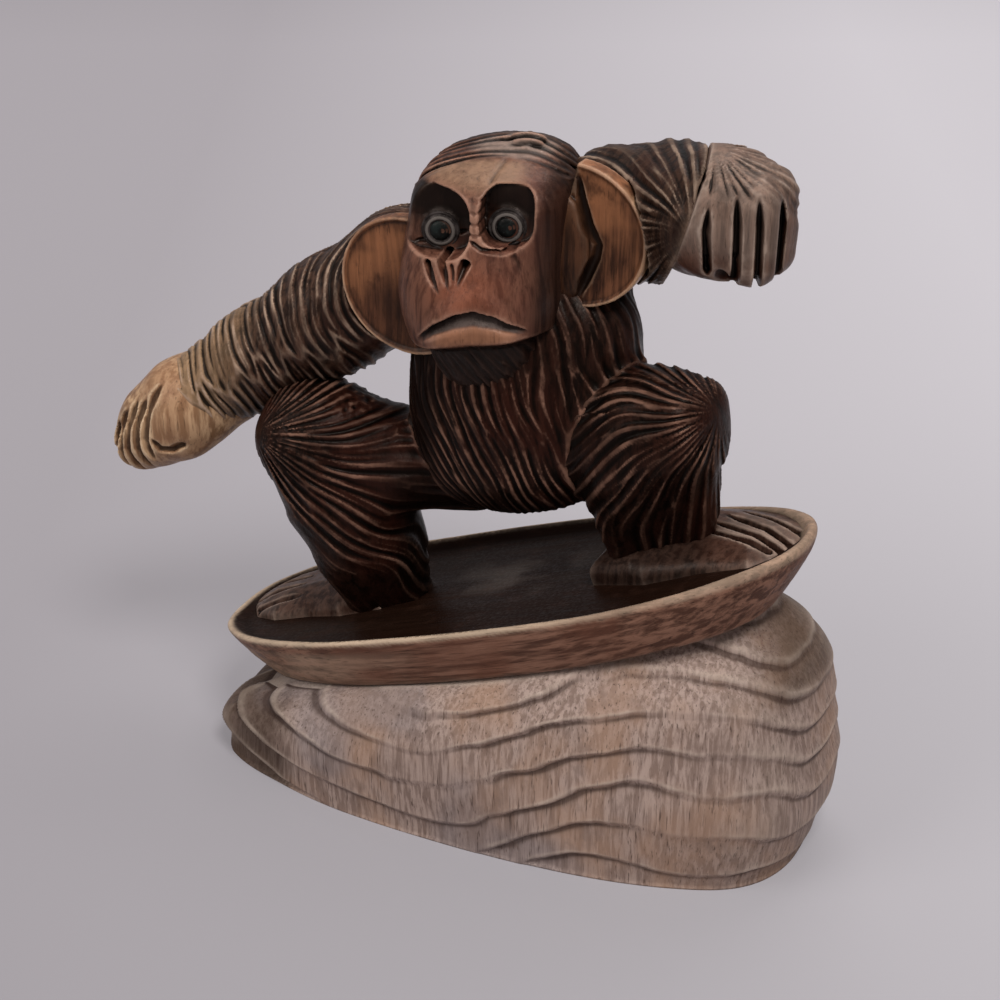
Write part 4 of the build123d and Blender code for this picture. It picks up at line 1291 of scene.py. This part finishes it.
# Pegs keep their solids and get a wood of their own

pegWood = woodFinish("pegWood", looks["board"])
for name in ("board_pegs", "leg_pegs"):
    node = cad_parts[name]
    node.data.materials.clear()
    node.data.materials.append(pegWood)


# Floor, light and camera

# left and right: the floor's colours, the right brighter as painted light
stage = {"left": (172, 166, 170), "right": (208, 203, 207), "glow": 0.44, "half": 6.0}


def stageFinish(name):
    # a pale surface with painted light: brighter towards one side and away, and partly glowing to camera
    # rays, so that it keeps a faint shadow
    paint = Paint(name)
    across, away = [paint.node("ShaderNodeVectorMath", {"operation": "DOT_PRODUCT"},
                               {0: paint.place, 1: way}, 1)
                    for way in (viewAcross, -viewNear)]
    # painted light: brighter towards the right and farther off
    colour = paint.mix(paint.limited(across, -0.20, 0.26, easing="LINEAR"), srgb(*stage["left"]),
                       srgb(*stage["right"]))
    level = paint.limited(away, -0.15, 0.9, 0.71, 1.175, "LINEAR")
    colour = paint.node("ShaderNodeVectorMath", {"operation": "SCALE"}, {0: colour, "Scale": level})
    matt = paint.node("ShaderNodeBsdfDiffuse", {}, {"Color": colour})
    lit = paint.node("ShaderNodeEmission", {}, {"Color": colour, "Strength": 1.0})
    seen = paint.node("ShaderNodeLightPath")
    mixed = paint.node("ShaderNodeMixShader", {}, {0: seen * stage["glow"], 1: matt, 2: lit})
    paint.node("ShaderNodeOutputMaterial", {}, {"Surface": mixed})
    return paint.material


half = stage["half"]
floorMesh = bpy.data.meshes.new("floor")
floorMesh.from_pydata([(-half, -half, 0), (half, -half, 0), (half, half, 0), (-half, half, 0)], [],
                      [(0, 1, 2, 3)])
floorMesh.materials.append(stageFinish("floorPaintedLight"))
floor = bpy.data.objects.new("floor", floorMesh)
bpy.context.scene.collection.objects.link(floor)
floor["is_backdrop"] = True

world = bpy.data.worlds.new("studio")
bpy.context.scene.world = world
world.use_nodes = True
for key, value in (("Color", (*srgb(232, 230, 234), 1)), ("Strength", 0.38)):
    world.node_tree.nodes["Background"].inputs[key].default_value = value

lamps = {  # place in metres, size, watts
    "key": ((0.52, -0.50, 1.20), 0.45, 13.5),
    "fill": ((-0.62, -0.85, 0.90), 0.8, 6.8),
    "top": ((-0.05, 0.40, 1.20), 0.7, 5.5),
}
aim = Vector((-0.01, 0.0, 0.12))
for name, (spot, size, power) in lamps.items():
    lamp = bpy.data.lights.new(name, "AREA")
    lamp.shape, lamp.size, lamp.energy = "DISK", size, power
    holder = bpy.data.objects.new(name, lamp)
    holder.location = spot
    holder.rotation_euler = (aim - Vector(spot)).to_track_quat("-Z", "Y").to_euler()
    bpy.context.scene.collection.objects.link(holder)

shot = {"azimuth": 27.0, "elevation": 29.0, "target": (-0.010, 0.0, 0.107), "angle": 28.8,
        "halfWide": 0.159}
around, above = math.radians(shot["azimuth"]), math.radians(shot["elevation"])
back = Vector((math.sin(around) * math.cos(above), -math.cos(around) * math.cos(above), math.sin(above)))
reach = math.tan(math.radians(shot["angle"]) / 2)
cameraData = bpy.data.cameras.new("camera")
cameraData.sensor_width = 36.0
cameraData.lens = cameraData.sensor_width / 2 / reach
cameraData.clip_end = 50.0
camera = bpy.data.objects.new("camera", cameraData)
camera.location = Vector(shot["target"]) + back * (shot["halfWide"] / reach)
camera.rotation_euler = (-back).to_track_quat("-Z", "Y").to_euler()
bpy.context.scene.collection.objects.link(camera)
bpy.context.scene.camera = camera
bpy.context.scene.view_settings.view_transform = "Standard"

low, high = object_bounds()
print("stage set")
